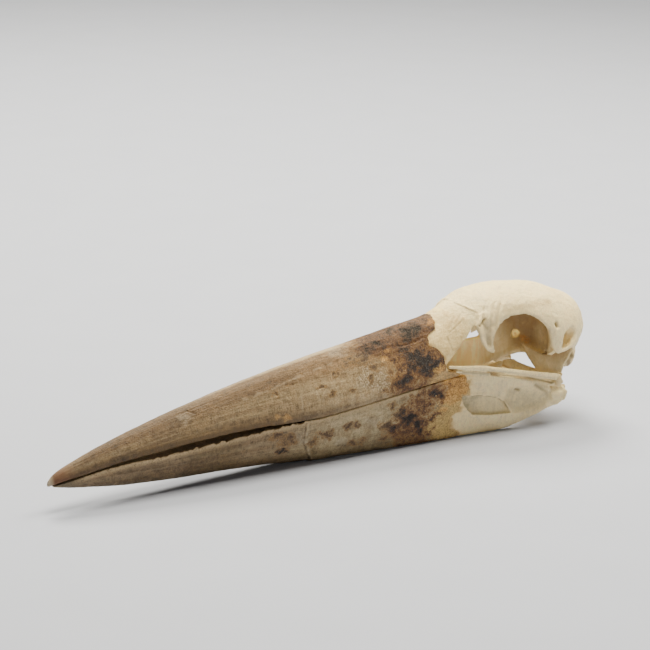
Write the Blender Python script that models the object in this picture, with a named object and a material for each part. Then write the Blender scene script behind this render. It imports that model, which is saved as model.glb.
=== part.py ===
"""Marabou stork skull, life size, lying on its lower jaw as it would rest on a flat surface.

The skull is drawn in millimetres and turned into metres at the end. The bill points along -X,
the bird's left side is -Y, and Z = 0 is the surface that the skull lies on. Along the skull,
a place is given as its distance from the bill tip.
"""

import math

import bmesh
import bpy
from mathutils import Matrix, Vector

MILLIMETRE = 0.001

# Driving dimensions, in millimetres
SKULL_LENGTH = 380.0
GAP = 0.3
MERGE_DISTANCE = 0.01
SYMPHYSIS_END = 172.0
LOWER_HORN_END = 272.0
JAW_END = 350.0
SEPTUM_THICKNESS = 2.6
NASAL_WALL = 4.2
JAW_THICKNESS = 6.5
RECESS_DEPTH = 2.0

# Profiles along the skull: (distance from the bill tip, height above the floor)
CROWN = ((0, 18.2), (3, 21.4), (8, 24.2), (26, 30.8), (51, 38.4), (86, 47.3), (125, 55.8), (165, 62.8),
         (211, 69.4), (246, 74.6), (262, 76.7), (273, 79.9), (284, 83.6), (297, 88.2), (315, 89.4),
         (330, 88.1), (345, 85.6), (358, 80.4), (367, 76.8), (373, 72.6), (377, 66.0), (380, 52.0))
TOMIUM = ((0, 15.6), (6, 17.6), (20, 20.2), (37, 23.3), (74, 27.6), (123, 30.8), (142, 31.0), (160, 30.4),
          (174, 30.5), (191, 32.3), (217, 35.4), (250, 39.4), (273, 41.6), (292, 43.0))
LOWER_EDGE = ((3, 16.2), (20, 19.0), (37, 21.8), (50, 23.0), (66, 23.6), (86, 25.0), (111, 26.8),
              (136, 28.6), (150, 29.2), (160, 29.9), (174, 30.0), (191, 31.75), (217, 34.8), (250, 38.85),
              (273, 41.0), (291, 40.0), (314, 36.4), (332, 31.4), (341, 27.0), (350, 24.6))
KEEL = ((3, 15.2), (8, 14.0), (19, 11.8), (50, 7.6), (85, 5.3), (125, 3.6), (150, 1.8), (165, 0.2),
        (170, 0), (300, 0), (308, 0.6), (317, 2.6), (329, 6.2), (340, 10.2), (350, 13.5))

# Half widths along the skull: (distance from the bill tip, half width)
UPPER_HALF_WIDTH = ((0, 0.7), (3, 2.2), (8, 3.6), (20, 5.4), (50, 8.7), (100, 12.8), (150, 16.4),
                    (200, 19.8), (250, 22.4), (275, 22.8), (290, 23.4), (303, 25.0), (318, 26.5),
                    (330, 30.0), (340, 32.5), (351, 30.2), (361, 26.8), (369, 21.6), (374, 16.2),
                    (378, 9.0), (380, 2.0))
WIDEST_HEIGHT = ((0, 16.4), (6, 18.8), (20, 21.6), (74, 29.6), (123, 33.2), (160, 33.2), (191, 35.4),
                 (250, 43.0), (262, 46.8), (272, 54.0), (282, 62.8), (292, 69.8), (306, 73.0),
                 (322, 69.5), (335, 62.0), (345, 57.0), (380, 53.0))
JAW_TOP_HALF_WIDTH = ((172, 16.8), (200, 18.8), (250, 21.6), (272, 22.8), (300, 26.0), (320, 28.0),
                      (350, 29.8))
JAW_FOOT_HALF_WIDTH = ((172, 2.6), (189, 5.0), (203, 6.8), (219, 9.6), (240, 12.6), (265, 15.2),
                       (290, 17.6), (307, 19.8), (330, 23.5), (350, 26.5))
BRAINCASE_FLOOR = ((266, 46), (300, 44), (335, 42), (345, 38.5), (356, 37.0), (365, 38.5), (373, 41.5),
                   (378, 45.0), (380, 48.0))


def smooth(stations):
    """A smooth curve through stations, as a function of the place, with no overshoot between them."""
    places = [float(station[0]) for station in stations]
    values = [float(station[1]) for station in stations]
    rises = [(values[i + 1] - values[i]) / (places[i + 1] - places[i]) for i in range(len(places) - 1)]
    slopes = [rises[0]]
    for before, after in zip(rises, rises[1:]):
        slopes.append(0.0 if before * after <= 0 else 2 * before * after / (before + after))
    slopes.append(rises[-1])

    def value(place):
        place = min(max(place, places[0]), places[-1])
        i = max(k for k in range(len(places) - 1) if places[k] <= place)
        step = places[i + 1] - places[i]
        t = (place - places[i]) / step
        return (values[i] * (1 + 2 * t) * (1 - t) ** 2 + values[i + 1] * t * t * (3 - 2 * t)
                + slopes[i] * step * t * (1 - t) ** 2 - slopes[i + 1] * step * t * t * (1 - t))
    return value


crown = smooth(CROWN)
tomium = smooth(TOMIUM)
lower_edge = smooth(LOWER_EDGE)
keel = smooth(KEEL)
upper_half_width = smooth(UPPER_HALF_WIDTH)
widest_height = smooth(WIDEST_HEIGHT)
jaw_top = smooth(JAW_TOP_HALF_WIDTH)
jaw_foot = smooth(JAW_FOOT_HALF_WIDTH)
braincase_floor = smooth(BRAINCASE_FLOOR)


def lower_half_width(place):
    """Half width of the lower bill, just inside the upper one."""
    return 0.93 * upper_half_width(place) - 0.1


def blend(low, high, t):
    """The value between low and high, eased at both ends, as t goes from 0 to 1."""
    t = min(max(t, 0.0), 1.0)
    return low + (high - low) * t * t * (3 - 2 * t)


def spread(first, last, count):
    """Evenly spaced places from first to last."""
    return [first + (last - first) * i / (count - 1) for i in range(count)]


# Solids

def new_object(name, bm):
    """An object from a bmesh, with its faces pointing out."""
    bmesh.ops.recalc_face_normals(bm, faces=bm.faces)
    mesh = bpy.data.meshes.new(name)
    bm.to_mesh(mesh)
    bm.free()
    obj = bpy.data.objects.new(name, mesh)
    bpy.context.scene.collection.objects.link(obj)
    return obj


def loft(rings, name="piece"):
    """A closed solid through rings of points, all with the same number of points."""
    bm = bmesh.new()
    loops = []
    for ring in rings:
        corners = [bm.verts.new(point) for point in ring]
        loops.append([bm.edges.new((corners[i - 1], corners[i])) for i in range(len(corners))])
    for first, second in zip(loops, loops[1:]):
        bmesh.ops.bridge_loops(bm, edges=first + second)
    for loop in (loops[0], loops[-1]):
        bmesh.ops.contextual_create(bm, geom=loop)
    bmesh.ops.triangulate(bm, faces=[face for face in bm.faces if len(face.verts) > 4])
    return new_object(name, bm)


def ball(centre, radii, turn=0.0, name="piece"):
    """An egg-shaped solid, turned about Y by an angle in degrees."""
    bm = bmesh.new()
    bmesh.ops.create_icosphere(bm, subdivisions=4, radius=1.0)
    bmesh.ops.scale(bm, vec=radii, verts=bm.verts)
    bmesh.ops.rotate(bm, cent=(0, 0, 0), matrix=Matrix.Rotation(math.radians(turn), 3, "Y"), verts=bm.verts)
    bmesh.ops.translate(bm, vec=centre, verts=bm.verts)
    return new_object(name, bm)


def rod(points, widths, heights=None, sides=12, side=(0, 1, 0), name="piece"):
    """A bar through points with an oval section: half widths towards side, half heights square to it."""
    heights = heights or widths
    rings = []
    for i, point in enumerate(points):
        ahead = Vector(points[min(i + 1, len(points) - 1)]) - Vector(points[max(i - 1, 0)])
        ahead.normalize()
        across = Vector(side) - ahead * ahead.dot(Vector(side))
        across.normalize()
        up = across.cross(ahead)
        turns = [2 * math.pi * k / sides for k in range(sides)]
        rings.append([Vector(point) + across * widths[i] * math.cos(t) + up * heights[i] * math.sin(t)
                      for t in turns])
    return loft(rings, name)


def curved_rod(points, widths, heights=None, steps=4, sides=12, side=(0, 1, 0), name="piece"):
    """A bar along a smooth curve through points."""
    heights = heights or widths
    places = list(range(len(points)))
    tracks = [smooth(list(zip(places, [point[axis] for point in points]))) for axis in range(3)]
    tracks += [smooth(list(zip(places, widths))), smooth(list(zip(places, heights)))]
    ts = spread(0, len(points) - 1, (len(points) - 1) * steps + 1)
    return rod([[track(t) for track in tracks[:3]] for t in ts], [tracks[3](t) for t in ts],
               [tracks[4](t) for t in ts], sides, side, name)


def side_prism(outline, low, high, name="piece"):
    """An outline of (place, height) points, extruded from y = low to y = high."""
    return loft([[(place, y, height) for place, height in outline] for y in (low, high)], name)


def plan_prism(outline, low, high, name="piece"):
    """An outline of (place, y) points, extruded from z = low to z = high."""
    return loft([[(place, y, z) for place, y in outline] for z in (low, high)], name)


def block(low, high, name="piece"):
    """A box between two corners."""
    return side_prism([(low[0], low[2]), (high[0], low[2]), (high[0], high[2]), (low[0], high[2])],
                      low[1], high[1], name)


def modify(obj, kind, **settings):
    """Adds a modifier, applies it and leaves the plain mesh."""
    modifier = obj.modifiers.new(kind.title(), kind)
    for key, value in settings.items():
        setattr(modifier, key, value)
    graph = bpy.context.evaluated_depsgraph_get()
    mesh = bpy.data.meshes.new_from_object(obj.evaluated_get(graph))
    obj.modifiers.clear()
    obj.data = mesh


def combine(obj, pieces, operation):
    """One Boolean on a collection of pieces, which are then removed."""
    group = bpy.data.collections.new("pieces")
    bpy.context.scene.collection.children.link(group)
    for piece in pieces:
        group.objects.link(piece)
    modify(obj, "BOOLEAN", operation=operation, operand_type="COLLECTION", collection=group, solver="EXACT")
    for piece in pieces:
        bpy.data.objects.remove(piece)
    bpy.data.collections.remove(group)


def fuse(obj, *pieces):
    """Joins pieces to the object."""
    combine(obj, pieces, "UNION")


def cut(obj, *pieces):
    """Cuts pieces out of the object."""
    combine(obj, pieces, "DIFFERENCE")


def keep_largest(obj):
    """Keeps only the largest closed surface of the object."""
    bm = bmesh.new()
    bm.from_mesh(obj.data)
    bmesh.ops.remove_doubles(bm, verts=bm.verts, dist=MERGE_DISTANCE)
    shells = []
    left = set(bm.faces)
    while left:
        shell = [left.pop()]
        for face in shell:
            for edge in face.edges:
                near = [other for other in edge.link_faces if other in left]
                shell.extend(near)
                left.difference_update(near)
        shells.append(shell)
    shells.sort(key=len)
    scraps = [face for shell in shells[:-1] for face in shell]
    bmesh.ops.delete(bm, geom=scraps, context="FACES")
    bmesh.ops.delete(bm, geom=[vert for vert in bm.verts if not vert.link_faces], context="VERTS")
    bm.to_mesh(obj.data)
    bm.free()


def soften(obj, grain, passes, faces):
    """Blends the joined shapes into one bone-like surface, then thins it to a number of triangles."""
    modify(obj, "REMESH", mode="VOXEL", voxel_size=grain, adaptivity=0.0)
    keep_largest(obj)
    modify(obj, "SMOOTH", factor=0.5, iterations=passes)
    modify(obj, "TRIANGULATE")
    modify(obj, "DECIMATE", ratio=min(1.0, faces / len(obj.data.polygons)))


def copy_of(obj, name="piece"):
    """A copy of an object with its own mesh."""
    twin = bpy.data.objects.new(name, obj.data.copy())
    bpy.context.scene.collection.objects.link(twin)
    return twin


def mirrored(obj, name="piece"):
    """A copy of an object on the other side of the middle plane."""
    twin = copy_of(obj, name)
    bm = bmesh.new()
    bm.from_mesh(twin.data)
    bmesh.ops.scale(bm, vec=(1, -1, 1), verts=bm.verts)
    bmesh.ops.reverse_faces(bm, faces=bm.faces)
    bm.to_mesh(twin.data)
    bm.free()
    return twin


def both(obj):
    """The piece and its twin on the other side."""
    return obj, mirrored(obj)


def clear(obj, left_neighbour):
    """Cuts the object back from a neighbour and its twin, so that the usual gap stays between them."""
    cutter = copy_of(left_neighbour)
    modify(cutter, "DISPLACE", strength=1.2 * GAP, mid_level=0.0)
    cut(obj, *both(cutter))
    keep_largest(obj)


# Upper bill and nasal bones

def upper_ring(place):
    """Section of the upper bill and nasal bones: arched sides, upright lips and a hollow palate."""
    top, low, edge, width = crown(place), widest_height(place), tomium(place), upper_half_width(place)
    low = max(low, edge + 0.5)
    side_power = blend(1.24, 1.0, (place - 268) / 34)
    rise_power = blend(1.18, 1.0, (place - 268) / 34)
    side = []
    for k in range(1, 10):
        turn = math.pi / 2 * k / 9
        height = low + (top - low) * math.cos(turn) ** rise_power
        side.append((width * math.sin(turn) ** side_power, height))
    for t in (0.35, 0.7, 1.0):
        side.append((width * (1 - 0.03 * t), low + (edge - low) * t))
    arch = 0.12 * width
    for k in range(1, 4):
        turn = math.pi / 2 * k / 4
        side.append((0.9 * width * math.cos(turn), edge + arch * math.sin(turn)))
    ring = [(place, 0.0, top)]
    ring += [(place, -y, z) for y, z in side]
    ring += [(place, 0.0, edge + arch)]
    ring += [(place, y, z) for y, z in reversed(side)]
    return ring


def cavity_ring(place, size):
    """Section of the nasal hollow: an arch inside the bone, with a flat floor."""
    floor = tomium(place) + 5.5
    top = crown(place) - NASAL_WALL - 1.5
    width = upper_half_width(place) - NASAL_WALL
    middle = (floor + top) / 2
    half = []
    for k in range(0, 9):
        turn = math.pi / 2 * k / 8
        half.append((width * math.sin(turn) ** 1.1, floor + (top - floor) * math.cos(turn)))
    points = [(-y, z) for y, z in half] + [(y, z) for y, z in reversed(half[1:])]
    return [(place, y * size, middle + (z - middle) * size) for y, z in points]


def make_upper():
    """The horn-covered upper bill and the bare nasal bones behind it."""
    places = [0.0, 1.2, 3, 5.5, 9, 14, 20] + spread(30, 250, 21) + spread(256, 293, 8)
    whole = loft([upper_ring(place) for place in places])
    hollow = loft([cavity_ring(place, size) for place, size in
                   ((236, 0.25), (241, 0.6), (248, 0.85), (257, 1.0), (268, 1.0), (280, 1.0), (300, 1.0))])
    rear = side_prism([(292.0, 84.0), (289.4, 79.2), (284.2, 72.4), (277.6, 64.6), (268.5, 56.0),
                       (262.3, 49.4), (262.9, 46.8), (268.0, 45.4), (272.6, 42.6), (273.0, 30.0),
                       (340, 30), (340, 120), (292, 120)], -60, 60)
    modify(whole, "TRIANGULATE")
    cut(whole, hollow, rear)
    border = [(268.0, 96.0), (262.7, 77.0), (256.8, 71.8), (253.0, 66.0), (255.5, 60.0), (260.0, 55.0),
              (262.0, 51.5), (262.4, 48.2), (266.0, 47.2)]
    upper_bill = copy_of(whole, "upper_bill")
    cut(upper_bill, side_prism(border + [(330, 47.2), (330, 96)], -60, 60))
    nasal = whole
    nasal.name = "nasal_bones"
    in_front = [(place + GAP, height) for place, height in border]
    cut(nasal, side_prism(in_front + [(260, 0), (-20, 0), (-20, 96)], -60, 60),
        plan_prism(hinge_line(0.0) + [(330, 40), (330, -40)], 20, 120))
    keep_largest(nasal)
    groove = curved_rod([(230, -13.4, 63.6), (238, -13.9, 64.3), (246, -13.6, 65.6), (252, -12.8, 67.4)],
                        [1.8, 3.0, 3.0, 1.6], [0.5, 0.7, 0.7, 0.5])
    cut(upper_bill, *both(groove))
    keep_largest(upper_bill)
    return upper_bill, nasal


def hinge_line(back):
    """The bent seam between the nasal bones and the frontal, seen from above, right side first."""
    return [(place + back, y) for place, y in
            ((291.6, -40), (291.0, -24), (287.4, -18), (283.8, -12), (281.2, -5), (280.4, 0),
             (281.2, 5), (283.8, 12), (287.4, 18), (291.0, 24), (291.6, 40))]


# Cranium

def cranium_ring(place):
    """Section of the frontal and braincase: an arched roof over a rounded floor."""
    top, low, width = crown(place), widest_height(place), upper_half_width(place)
    floor = min(braincase_floor(place), low - 1.0)
    half = []
    for k in range(1, 12):
        turn = math.pi / 2 * k / 11
        half.append((width * math.sin(turn), low + (top - low) * math.cos(turn)))
    for k in range(1, 8):
        turn = math.pi / 2 * k / 8
        half.append((width * math.cos(turn) ** 0.7, low - (low - floor) * math.sin(turn)))
    ring = [(place, 0.0, top)] + [(place, -y, z) for y, z in half]
    return ring + [(place, 0.0, floor)] + [(place, y, z) for y, z in reversed(half)]


def orbit():
    """The left eye socket as a cutter, lofted outwards from the septum."""
    rings = []
    for y, front, rear, top in ((1.3, 305, 330, 74.0), (3, 302, 335, 77.0), (8, 298, 339.5, 78.8),
                                (15, 295, 341.8, 78.6), (21, 293, 341.2, 76.8), (26, 291.5, 339.0, 74.4),
                                (29, 291, 337.6, 73.4), (36, 289, 338.0, 72.0), (48, 285, 340.0, 68.0)):
        centre, half = (front + rear) / 2, (rear - front) / 2
        low = 28.0
        middle, rise = (top + low) / 2, (top - low) / 2
        ring = []
        for k in range(32):
            across, up = math.cos(math.pi * k / 16), math.sin(math.pi * k / 16)
            ring.append((centre + half * math.copysign(abs(across) ** 0.88, across), -y,
                         middle + rise * math.copysign(abs(up) ** 0.88, up)))
        rings.append(ring)
    return loft(rings)


def roof_line(lift):
    """The underside of the frontal in front of the eyes, seen from the side."""
    return [(place, height + lift) for place, height in
            ((255, 60), (272, 72.0), (281, 75.4), (292, 76.4), (301, 74.8), (304, 72.0))]


def make_cranium():
    """Frontal dome, braincase, septum with its rostrum, and the processes round the eye socket."""
    places = spread(266, 370, 27) + [373.5, 376, 378, 379.2, 380]
    cranium = loft([cranium_ring(place) for place in places], "cranium")
    under_roof = side_prism(roof_line(0.0) + [(304, 20), (255, 20)], -60, 60)
    under_skull = side_prism([(255, 20), (334, 20), (333, 38), (336, 46), (320, 44), (255, 40)], -60, 60)
    fossa = ball((351.6, -33.0, 54.9), (5.5, 10.0, 9.0), turn=40)
    cut(cranium, *both(orbit()), under_roof, under_skull, *both(fossa))
    plate = side_prism([(276, 39), (279, 53), (286, 57), (303, 56.5), (305.5, 62), (308, 80), (330, 80),
                        (340, 60), (341, 44), (334, 41.5), (320, 40.0), (300, 37.5)],
                       -SEPTUM_THICKNESS / 2, SEPTUM_THICKNESS / 2)
    rostrum = curved_rod([(277, 0, 40.0), (300, 0, 40.0), (320, 0, 42.2), (335, 0, 44.6), (348, 0, 43.0)],
                         [1.4, 1.8, 2.4, 4.0, 9.0], [1.4, 2.0, 2.4, 3.5, 5.0])
    postorbital = curved_rod([(342, -27.0, 66), (341.6, -29.6, 60), (341.4, -30.8, 53),
                              (342.0, -31.2, 46.8)],
                             [7.0, 6.0, 4.3, 1.0], [3.0, 2.4, 1.9, 0.9], side=(1, 0, 0))
    zygoma = curved_rod([(341.8, -31.0, 47.8), (347, -30.6, 48.2), (353, -28.8, 49.8), (359, -25.5, 52)],
                        [1.2, 1.3, 1.8, 3.5], [1.2, 1.2, 1.8, 3.5])
    paroccipital = curved_rod([(362, -15, 47), (365, -16.4, 41), (365.4, -15.6, 36), (364.6, -14.8, 32.2)],
                              [6.4, 5.0, 4.4, 3.0], [4.0, 2.8, 2.0, 1.4], side=(1, 0, 0))
    condyle = ball((372.0, 0, 41.0), (4.0, 3.4, 3.0))
    fuse(cranium, plate, rostrum, *both(postorbital), *both(zygoma), *both(paroccipital), condyle)
    spine_hole = curved_rod([(368, 0, 49.5), (374, 0, 48), (388, 0, 45)], [4.5, 5.6, 6.5], [4.0, 5.0, 6.0])
    window = ball((330.5, 0, 54.4), (3.0, 6.0, 2.6))
    cut(cranium, spine_hole, window)
    soften(cranium, 0.85, 2, 4700)
    before_hinge = plan_prism(hinge_line(1.4 * GAP) + [(250, 40), (250, -40)], 62, 120)
    seat = side_prism(roof_line(0.0) + [(304, 60), (255, 40)], -60, -16)
    cut(cranium, before_hinge, *both(seat))
    keep_largest(cranium)
    return cranium


# Small bones of the face and palate

def make_lacrimal():
    """The left lacrimal: a hooked plate in front of the eye, with a thick front rib."""
    rings = []
    for height, front, rear, y_front, y_rear, rib, thin in (
            (78.0, 289.6, 303.0, 18.6, 21.6, 3.2, 3.0), (75.0, 287.0, 302.2, 20.6, 23.0, 3.4, 2.8),
            (71.5, 284.4, 300.6, 22.2, 24.4, 3.4, 2.4), (68.0, 285.0, 298.2, 23.4, 25.0, 3.2, 2.0),
            (64.5, 287.0, 295.8, 24.0, 25.0, 3.0, 1.8), (60.5, 288.6, 295.0, 24.4, 24.6, 2.8, 1.8),
            (57.0, 290.6, 296.2, 24.4, 24.2, 2.6, 1.8), (54.4, 293.4, 297.2, 24.2, 24.0, 2.2, 1.6),
            (52.7, 295.6, 297.2, 24.0, 23.8, 1.4, 1.2)):
        outer, inner = [], []
        for t in spread(0, 1, 7):
            place = front + (rear - front) * t
            y = y_front + (y_rear - y_front) * t - 1.2 * math.sin(math.pi * t)
            thick = rib + (thin - rib) * min(1.0, 2.5 * t)
            ends = 0.35 if t in (0.0, 1.0) else 0.5
            outer.append((place, -y - thick * ends, height))
            inner.append((place, -y + thick * ends, height))
        rings.append(outer + inner[::-1])
    lacrimal = loft(rings, "lacrimal_left")
    cut(lacrimal, side_prism(roof_line(-GAP) + [(310, 100), (270, 100)], -60, 0))
    return lacrimal


def make_jugal():
    """The left cheek bar, from the bill base back to the quadrate."""
    return curved_rod([(263.6, -22.0, 48.8), (276, -24.4, 47.4), (288, -26.4, 45.6), (300, -27.8, 42.6),
                       (322, -29.0, 37.8), (339.4, -30.2, 33.8)],
                      [1.0, 1.1, 1.4, 1.3, 1.3, 1.5], [1.2, 1.3, 2.1, 2.0, 1.8, 2.4], steps=3, sides=8,
                      name="jugal_left")


def make_quadrate():
    """The left quadrate: a blade that widens upwards, hinge knobs and a broad inner process."""
    blade = side_prism([(342.9, 26.6), (341.8, 33.0), (341.6, 39.0), (343.4, 46.6), (350.0, 48.0),
                        (356.4, 46.6), (355.2, 40.0), (353.4, 36.2), (349.4, 31.4), (348.6, 26.6)],
                       -28.4, -22.6)
    knobs = curved_rod([(342.8, -31.0, 27.4), (344.4, -26.0, 26.8), (345.4, -19.8, 27.2)], [3.0, 2.4, 2.8],
                       [2.8, 2.4, 2.6], side=(1, 0, 0))
    wing = curved_rod([(346.0, -24.4, 38.4), (338.5, -20.0, 40.2), (332.5, -15.0, 43.0),
                       (328.6, -11.6, 47.6)],
                      [1.8, 1.3, 1.1, 0.8], [7.4, 7.6, 6.4, 2.2])
    fuse(blade, knobs, wing)
    soften(blade, 0.6, 3, 700)
    return blade


def make_pterygoid():
    """The left pterygoid, from the quadrate in to the rostrum."""
    return curved_rod([(340.0, -18.6, 30.0), (332, -11.5, 33.0), (324, -6.6, 36.8), (319.0, -4.8, 38.2)],
                      [2.2, 1.8, 1.9, 1.4], [2.6, 2.6, 2.8, 1.5], steps=3, sides=8, name="pterygoid_left")


def make_palatine():
    """The left palatine: a long thin plate in the roof of the mouth."""
    return curved_rod([(272.4, -13.5, 43.4), (282, -13.6, 41.4), (296, -11.8, 38.0), (308, -7.8, 37.0),
                       (317.6, -4.8, 38.2)],
                      [3.4, 4.2, 4.6, 2.6, 1.2], [0.9, 1.2, 2.2, 2.4, 1.3], steps=3, sides=10,
                      name="palatine_left")


# Lower jaw

def lower_ring(place):
    """Section of the joined front of the lower bill: a keel below and a trough above."""
    top, low, width = lower_edge(place), keel(place), lower_half_width(place)
    side = []
    for k in range(1, 9):
        turn = math.pi / 2 * k / 8
        side.append((width * math.sin(turn) ** 0.9, top - (top - low) * math.cos(turn) ** 1.25))
    trough = 0.3 * width
    for k in range(1, 4):
        turn = math.pi / 2 * k / 4
        side.append((0.88 * width * math.cos(turn), top - trough * math.sin(turn)))
    ring = [(place, 0.0, low)] + [(place, -y, z) for y, z in side]
    return ring + [(place, 0.0, top - trough)] + [(place, y, z) for y, z in reversed(side)]


def jaw_side(place, height):
    """Half width of the outer face of the lower jaw at a height."""
    share = (lower_edge(place) - height) / (lower_edge(place) - keel(place))
    lean = (1 - share ** 1.6) ** 0.45
    return jaw_foot(place) + (jaw_top(place) - jaw_foot(place)) * lean


def jaw_ring(place):
    """Section of the left branch of the lower jaw: a tall plate that leans outwards."""
    top, low = lower_edge(place), keel(place)
    head, foot = jaw_top(place), jaw_foot(place)
    outer, inner = [], []
    for k in range(0, 11):
        turn = math.pi / 2 * k / 10
        y = foot + (head - foot) * math.sin(turn) ** 0.9
        z = top - (top - low) * math.cos(turn) ** 1.25
        share = min(max((z - low) / (top - low), 0.0), 1.0)
        thick = JAW_THICKNESS * (0.28 + 0.72 * min(1.0, 4 * share) ** 0.6) * (1 - 0.45 * share ** 3)
        outer.append((place, -y, z))
        inner.append((place, -(y - thick), z + (0.5 if k == 0 else 0.0)))
    return outer + inner[::-1]


def make_jaw():
    """The left branch of the lower jaw, in its horn-covered length and its bare length."""
    front_places = [SYMPHYSIS_END + GAP] + spread(177, 267, 13) + [LOWER_HORN_END]
    horn = loft([jaw_ring(place) for place in front_places], "lower_bill_left")
    places = [LOWER_HORN_END + GAP] + spread(277, 345, 16) + [JAW_END - 1.5, JAW_END]
    bone = loft([jaw_ring(place) for place in places])
    joint = ball((342.5, -24.0, 19.6), (7.0, 8.4, 5.6), turn=12)
    heel = ball((347.2, -26.6, 19.6), (4.5, 5.0, 4.8))
    shelf = ball((334.0, -25.0, 24.0), (12.0, 4.4, 5.0), turn=22)
    fuse(bone, joint, heel, shelf)
    rim = [(273.6, 28.6), (276.2, 21.0), (282.4, 14.4), (294.8, 12.8), (310.6, 12.2), (305.0, 19.0),
           (299.6, 23.6), (287.0, 26.6)]
    recess = loft([[(place, -60, height) for place, height in rim],
                   [(place, RECESS_DEPTH - jaw_side(place, height), height) for place, height in rim]])
    seat = block((338, -50, 24.0), (360, 0, 60))
    cut(bone, recess)
    soften(bone, 0.8, 2, 1150)
    cut(bone, seat, block((LOWER_HORN_END - 20, -50, -5), (LOWER_HORN_END + GAP, 0, 60)))
    keep_largest(bone)
    return horn, bone


def make_lower_bill():
    """The joined front of the lower bill."""
    places = [3.2, 4.5, 6.5, 9, 13, 19] + spread(27, 165, 16) + [SYMPHYSIS_END]
    return loft([lower_ring(place) for place in places], "lower_bill")


# Finish

def material(name, colour, roughness):
    """A plain Principled material."""
    finish = bpy.data.materials.new(name)
    finish.use_nodes = True
    shader = finish.node_tree.nodes["Principled BSDF"]
    shader.inputs["Base Color"].default_value = (*colour, 1.0)
    shader.inputs["Roughness"].default_value = roughness
    shader.inputs["Metallic"].default_value = 0.0
    return finish


def place_node(obj, name, parent, colour, roughness):
    """Names a finished node, turns it into metres, centres it and gives it its material."""
    obj.name = name
    obj.data.name = name
    obj.data.transform(Matrix.Scale(MILLIMETRE, 4) @ Matrix.Translation((-SKULL_LENGTH / 2, 0, 0)))
    obj.data.materials.clear()
    obj.data.materials.append(material(name, colour, roughness))
    obj.data.shade_smooth()
    obj.data.set_sharp_from_angle(angle=math.radians(40))
    obj.parent = parent


HORN_COLOUR = (0.36, 0.27, 0.19)
BONE_COLOUR = (0.80, 0.74, 0.64)
HORN_ROUGHNESS = 0.55
BONE_ROUGHNESS = 0.6


def main():
    """Builds every bone and sets it in place."""
    for obj in list(bpy.data.objects):
        bpy.data.objects.remove(obj)
    skull = bpy.data.objects.new("skull", None)
    bpy.context.scene.collection.objects.link(skull)
    upper_bill, nasal = make_upper()
    horn_branch, bone_branch = make_jaw()
    horns = {"upper_bill": upper_bill, "lower_bill": make_lower_bill()}
    cranium, quadrate = make_cranium(), make_quadrate()
    clear(cranium, quadrate)
    bones = {"nasal_bones": nasal, "cranium": cranium}
    pairs = {"lacrimal": make_lacrimal(), "jugal": make_jugal(), "quadrate": quadrate,
             "pterygoid": make_pterygoid(), "palatine": make_palatine(), "mandible": bone_branch}
    for name, left in pairs.items():
        bones[name + "_left"] = left
        bones[name + "_right"] = mirrored(left)
    horns["lower_bill_left"] = horn_branch
    horns["lower_bill_right"] = mirrored(horn_branch)
    for name, obj in horns.items():
        place_node(obj, name, skull, HORN_COLOUR, HORN_ROUGHNESS)
    for name, obj in bones.items():
        place_node(obj, name, skull, BONE_COLOUR, BONE_ROUGHNESS)


main()
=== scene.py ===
"""A marabou stork skull as a still museum piece: bare bone behind a horn-covered bill.

Shapes are worked in millimetres on merged copies of the solids, then turned into metres.
The bill points along -X, the bird's left side is -Y and the skull lies on Z = 0.
"""

import math
from contextlib import contextmanager

import bmesh
import bpy
import numpy as np
from mathutils import Matrix, Vector, noise


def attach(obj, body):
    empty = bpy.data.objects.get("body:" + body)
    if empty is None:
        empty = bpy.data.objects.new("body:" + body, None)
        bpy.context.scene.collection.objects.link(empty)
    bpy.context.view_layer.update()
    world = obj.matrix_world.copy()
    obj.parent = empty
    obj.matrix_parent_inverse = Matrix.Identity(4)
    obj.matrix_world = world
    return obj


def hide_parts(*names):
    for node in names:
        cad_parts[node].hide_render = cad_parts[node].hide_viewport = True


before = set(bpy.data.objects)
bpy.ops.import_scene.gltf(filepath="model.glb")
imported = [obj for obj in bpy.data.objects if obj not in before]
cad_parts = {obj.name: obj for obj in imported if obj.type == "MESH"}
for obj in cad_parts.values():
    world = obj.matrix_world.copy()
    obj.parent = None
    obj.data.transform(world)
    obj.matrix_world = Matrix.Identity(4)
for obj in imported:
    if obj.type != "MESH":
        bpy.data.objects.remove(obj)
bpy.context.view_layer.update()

# A millimetre in metres. The other lengths are in millimetres
MILLIMETRE = 0.001

# Voxels of the blended surfaces, how far they grow first, and how far bone draws in under horn
HORN_GRAIN, BONE_GRAIN, JAW_GRAIN, FINE_GRAIN = 0.62, 0.55, 0.46, 0.4
GROWTH, FINE_GROWTH = 0.2, 0.1
UPPER_SHEATH, LOWER_SHEATH = 0.6, 0.35

# The stretch of bill that is measured, its steps, and the blocks that cut the bone off in front
BILL_SPAN, SLICE = (-190, 90), 3.0
UPPER_FRONT, LOWER_FRONT = 54, 64
FAR_FRONT, DEEP, TALL, BROAD = -230, -10, 120, 60

# The share of its faces that the upper sheath keeps
SHEATH_SHARE = 0.82


# Shapes

def linked(name, data):
    """An object with this data, in the scene."""
    obj = bpy.data.objects.new(name, data)
    bpy.context.scene.collection.objects.link(obj)
    return obj


def new_object(bm, name="piece"):
    """An object that holds the bmesh."""
    mesh = bpy.data.meshes.new(name)
    bm.to_mesh(mesh)
    bm.free()
    return linked(name, mesh)


@contextmanager
def open_mesh(obj):
    """The object's mesh as a bmesh, which is written back at the end."""
    bm = bmesh.new()
    bm.from_mesh(obj.data)
    yield bm
    bm.to_mesh(obj.data)
    bm.free()


def modify(obj, kind, **settings):
    """Adds a modifier and applies it."""
    modifier = obj.modifiers.new(kind.title(), kind)
    for key, value in settings.items():
        setattr(modifier, key, value)
    graph = bpy.context.evaluated_depsgraph_get()
    mesh = bpy.data.meshes.new_from_object(obj.evaluated_get(graph))
    obj.modifiers.clear()
    obj.data = mesh


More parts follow.
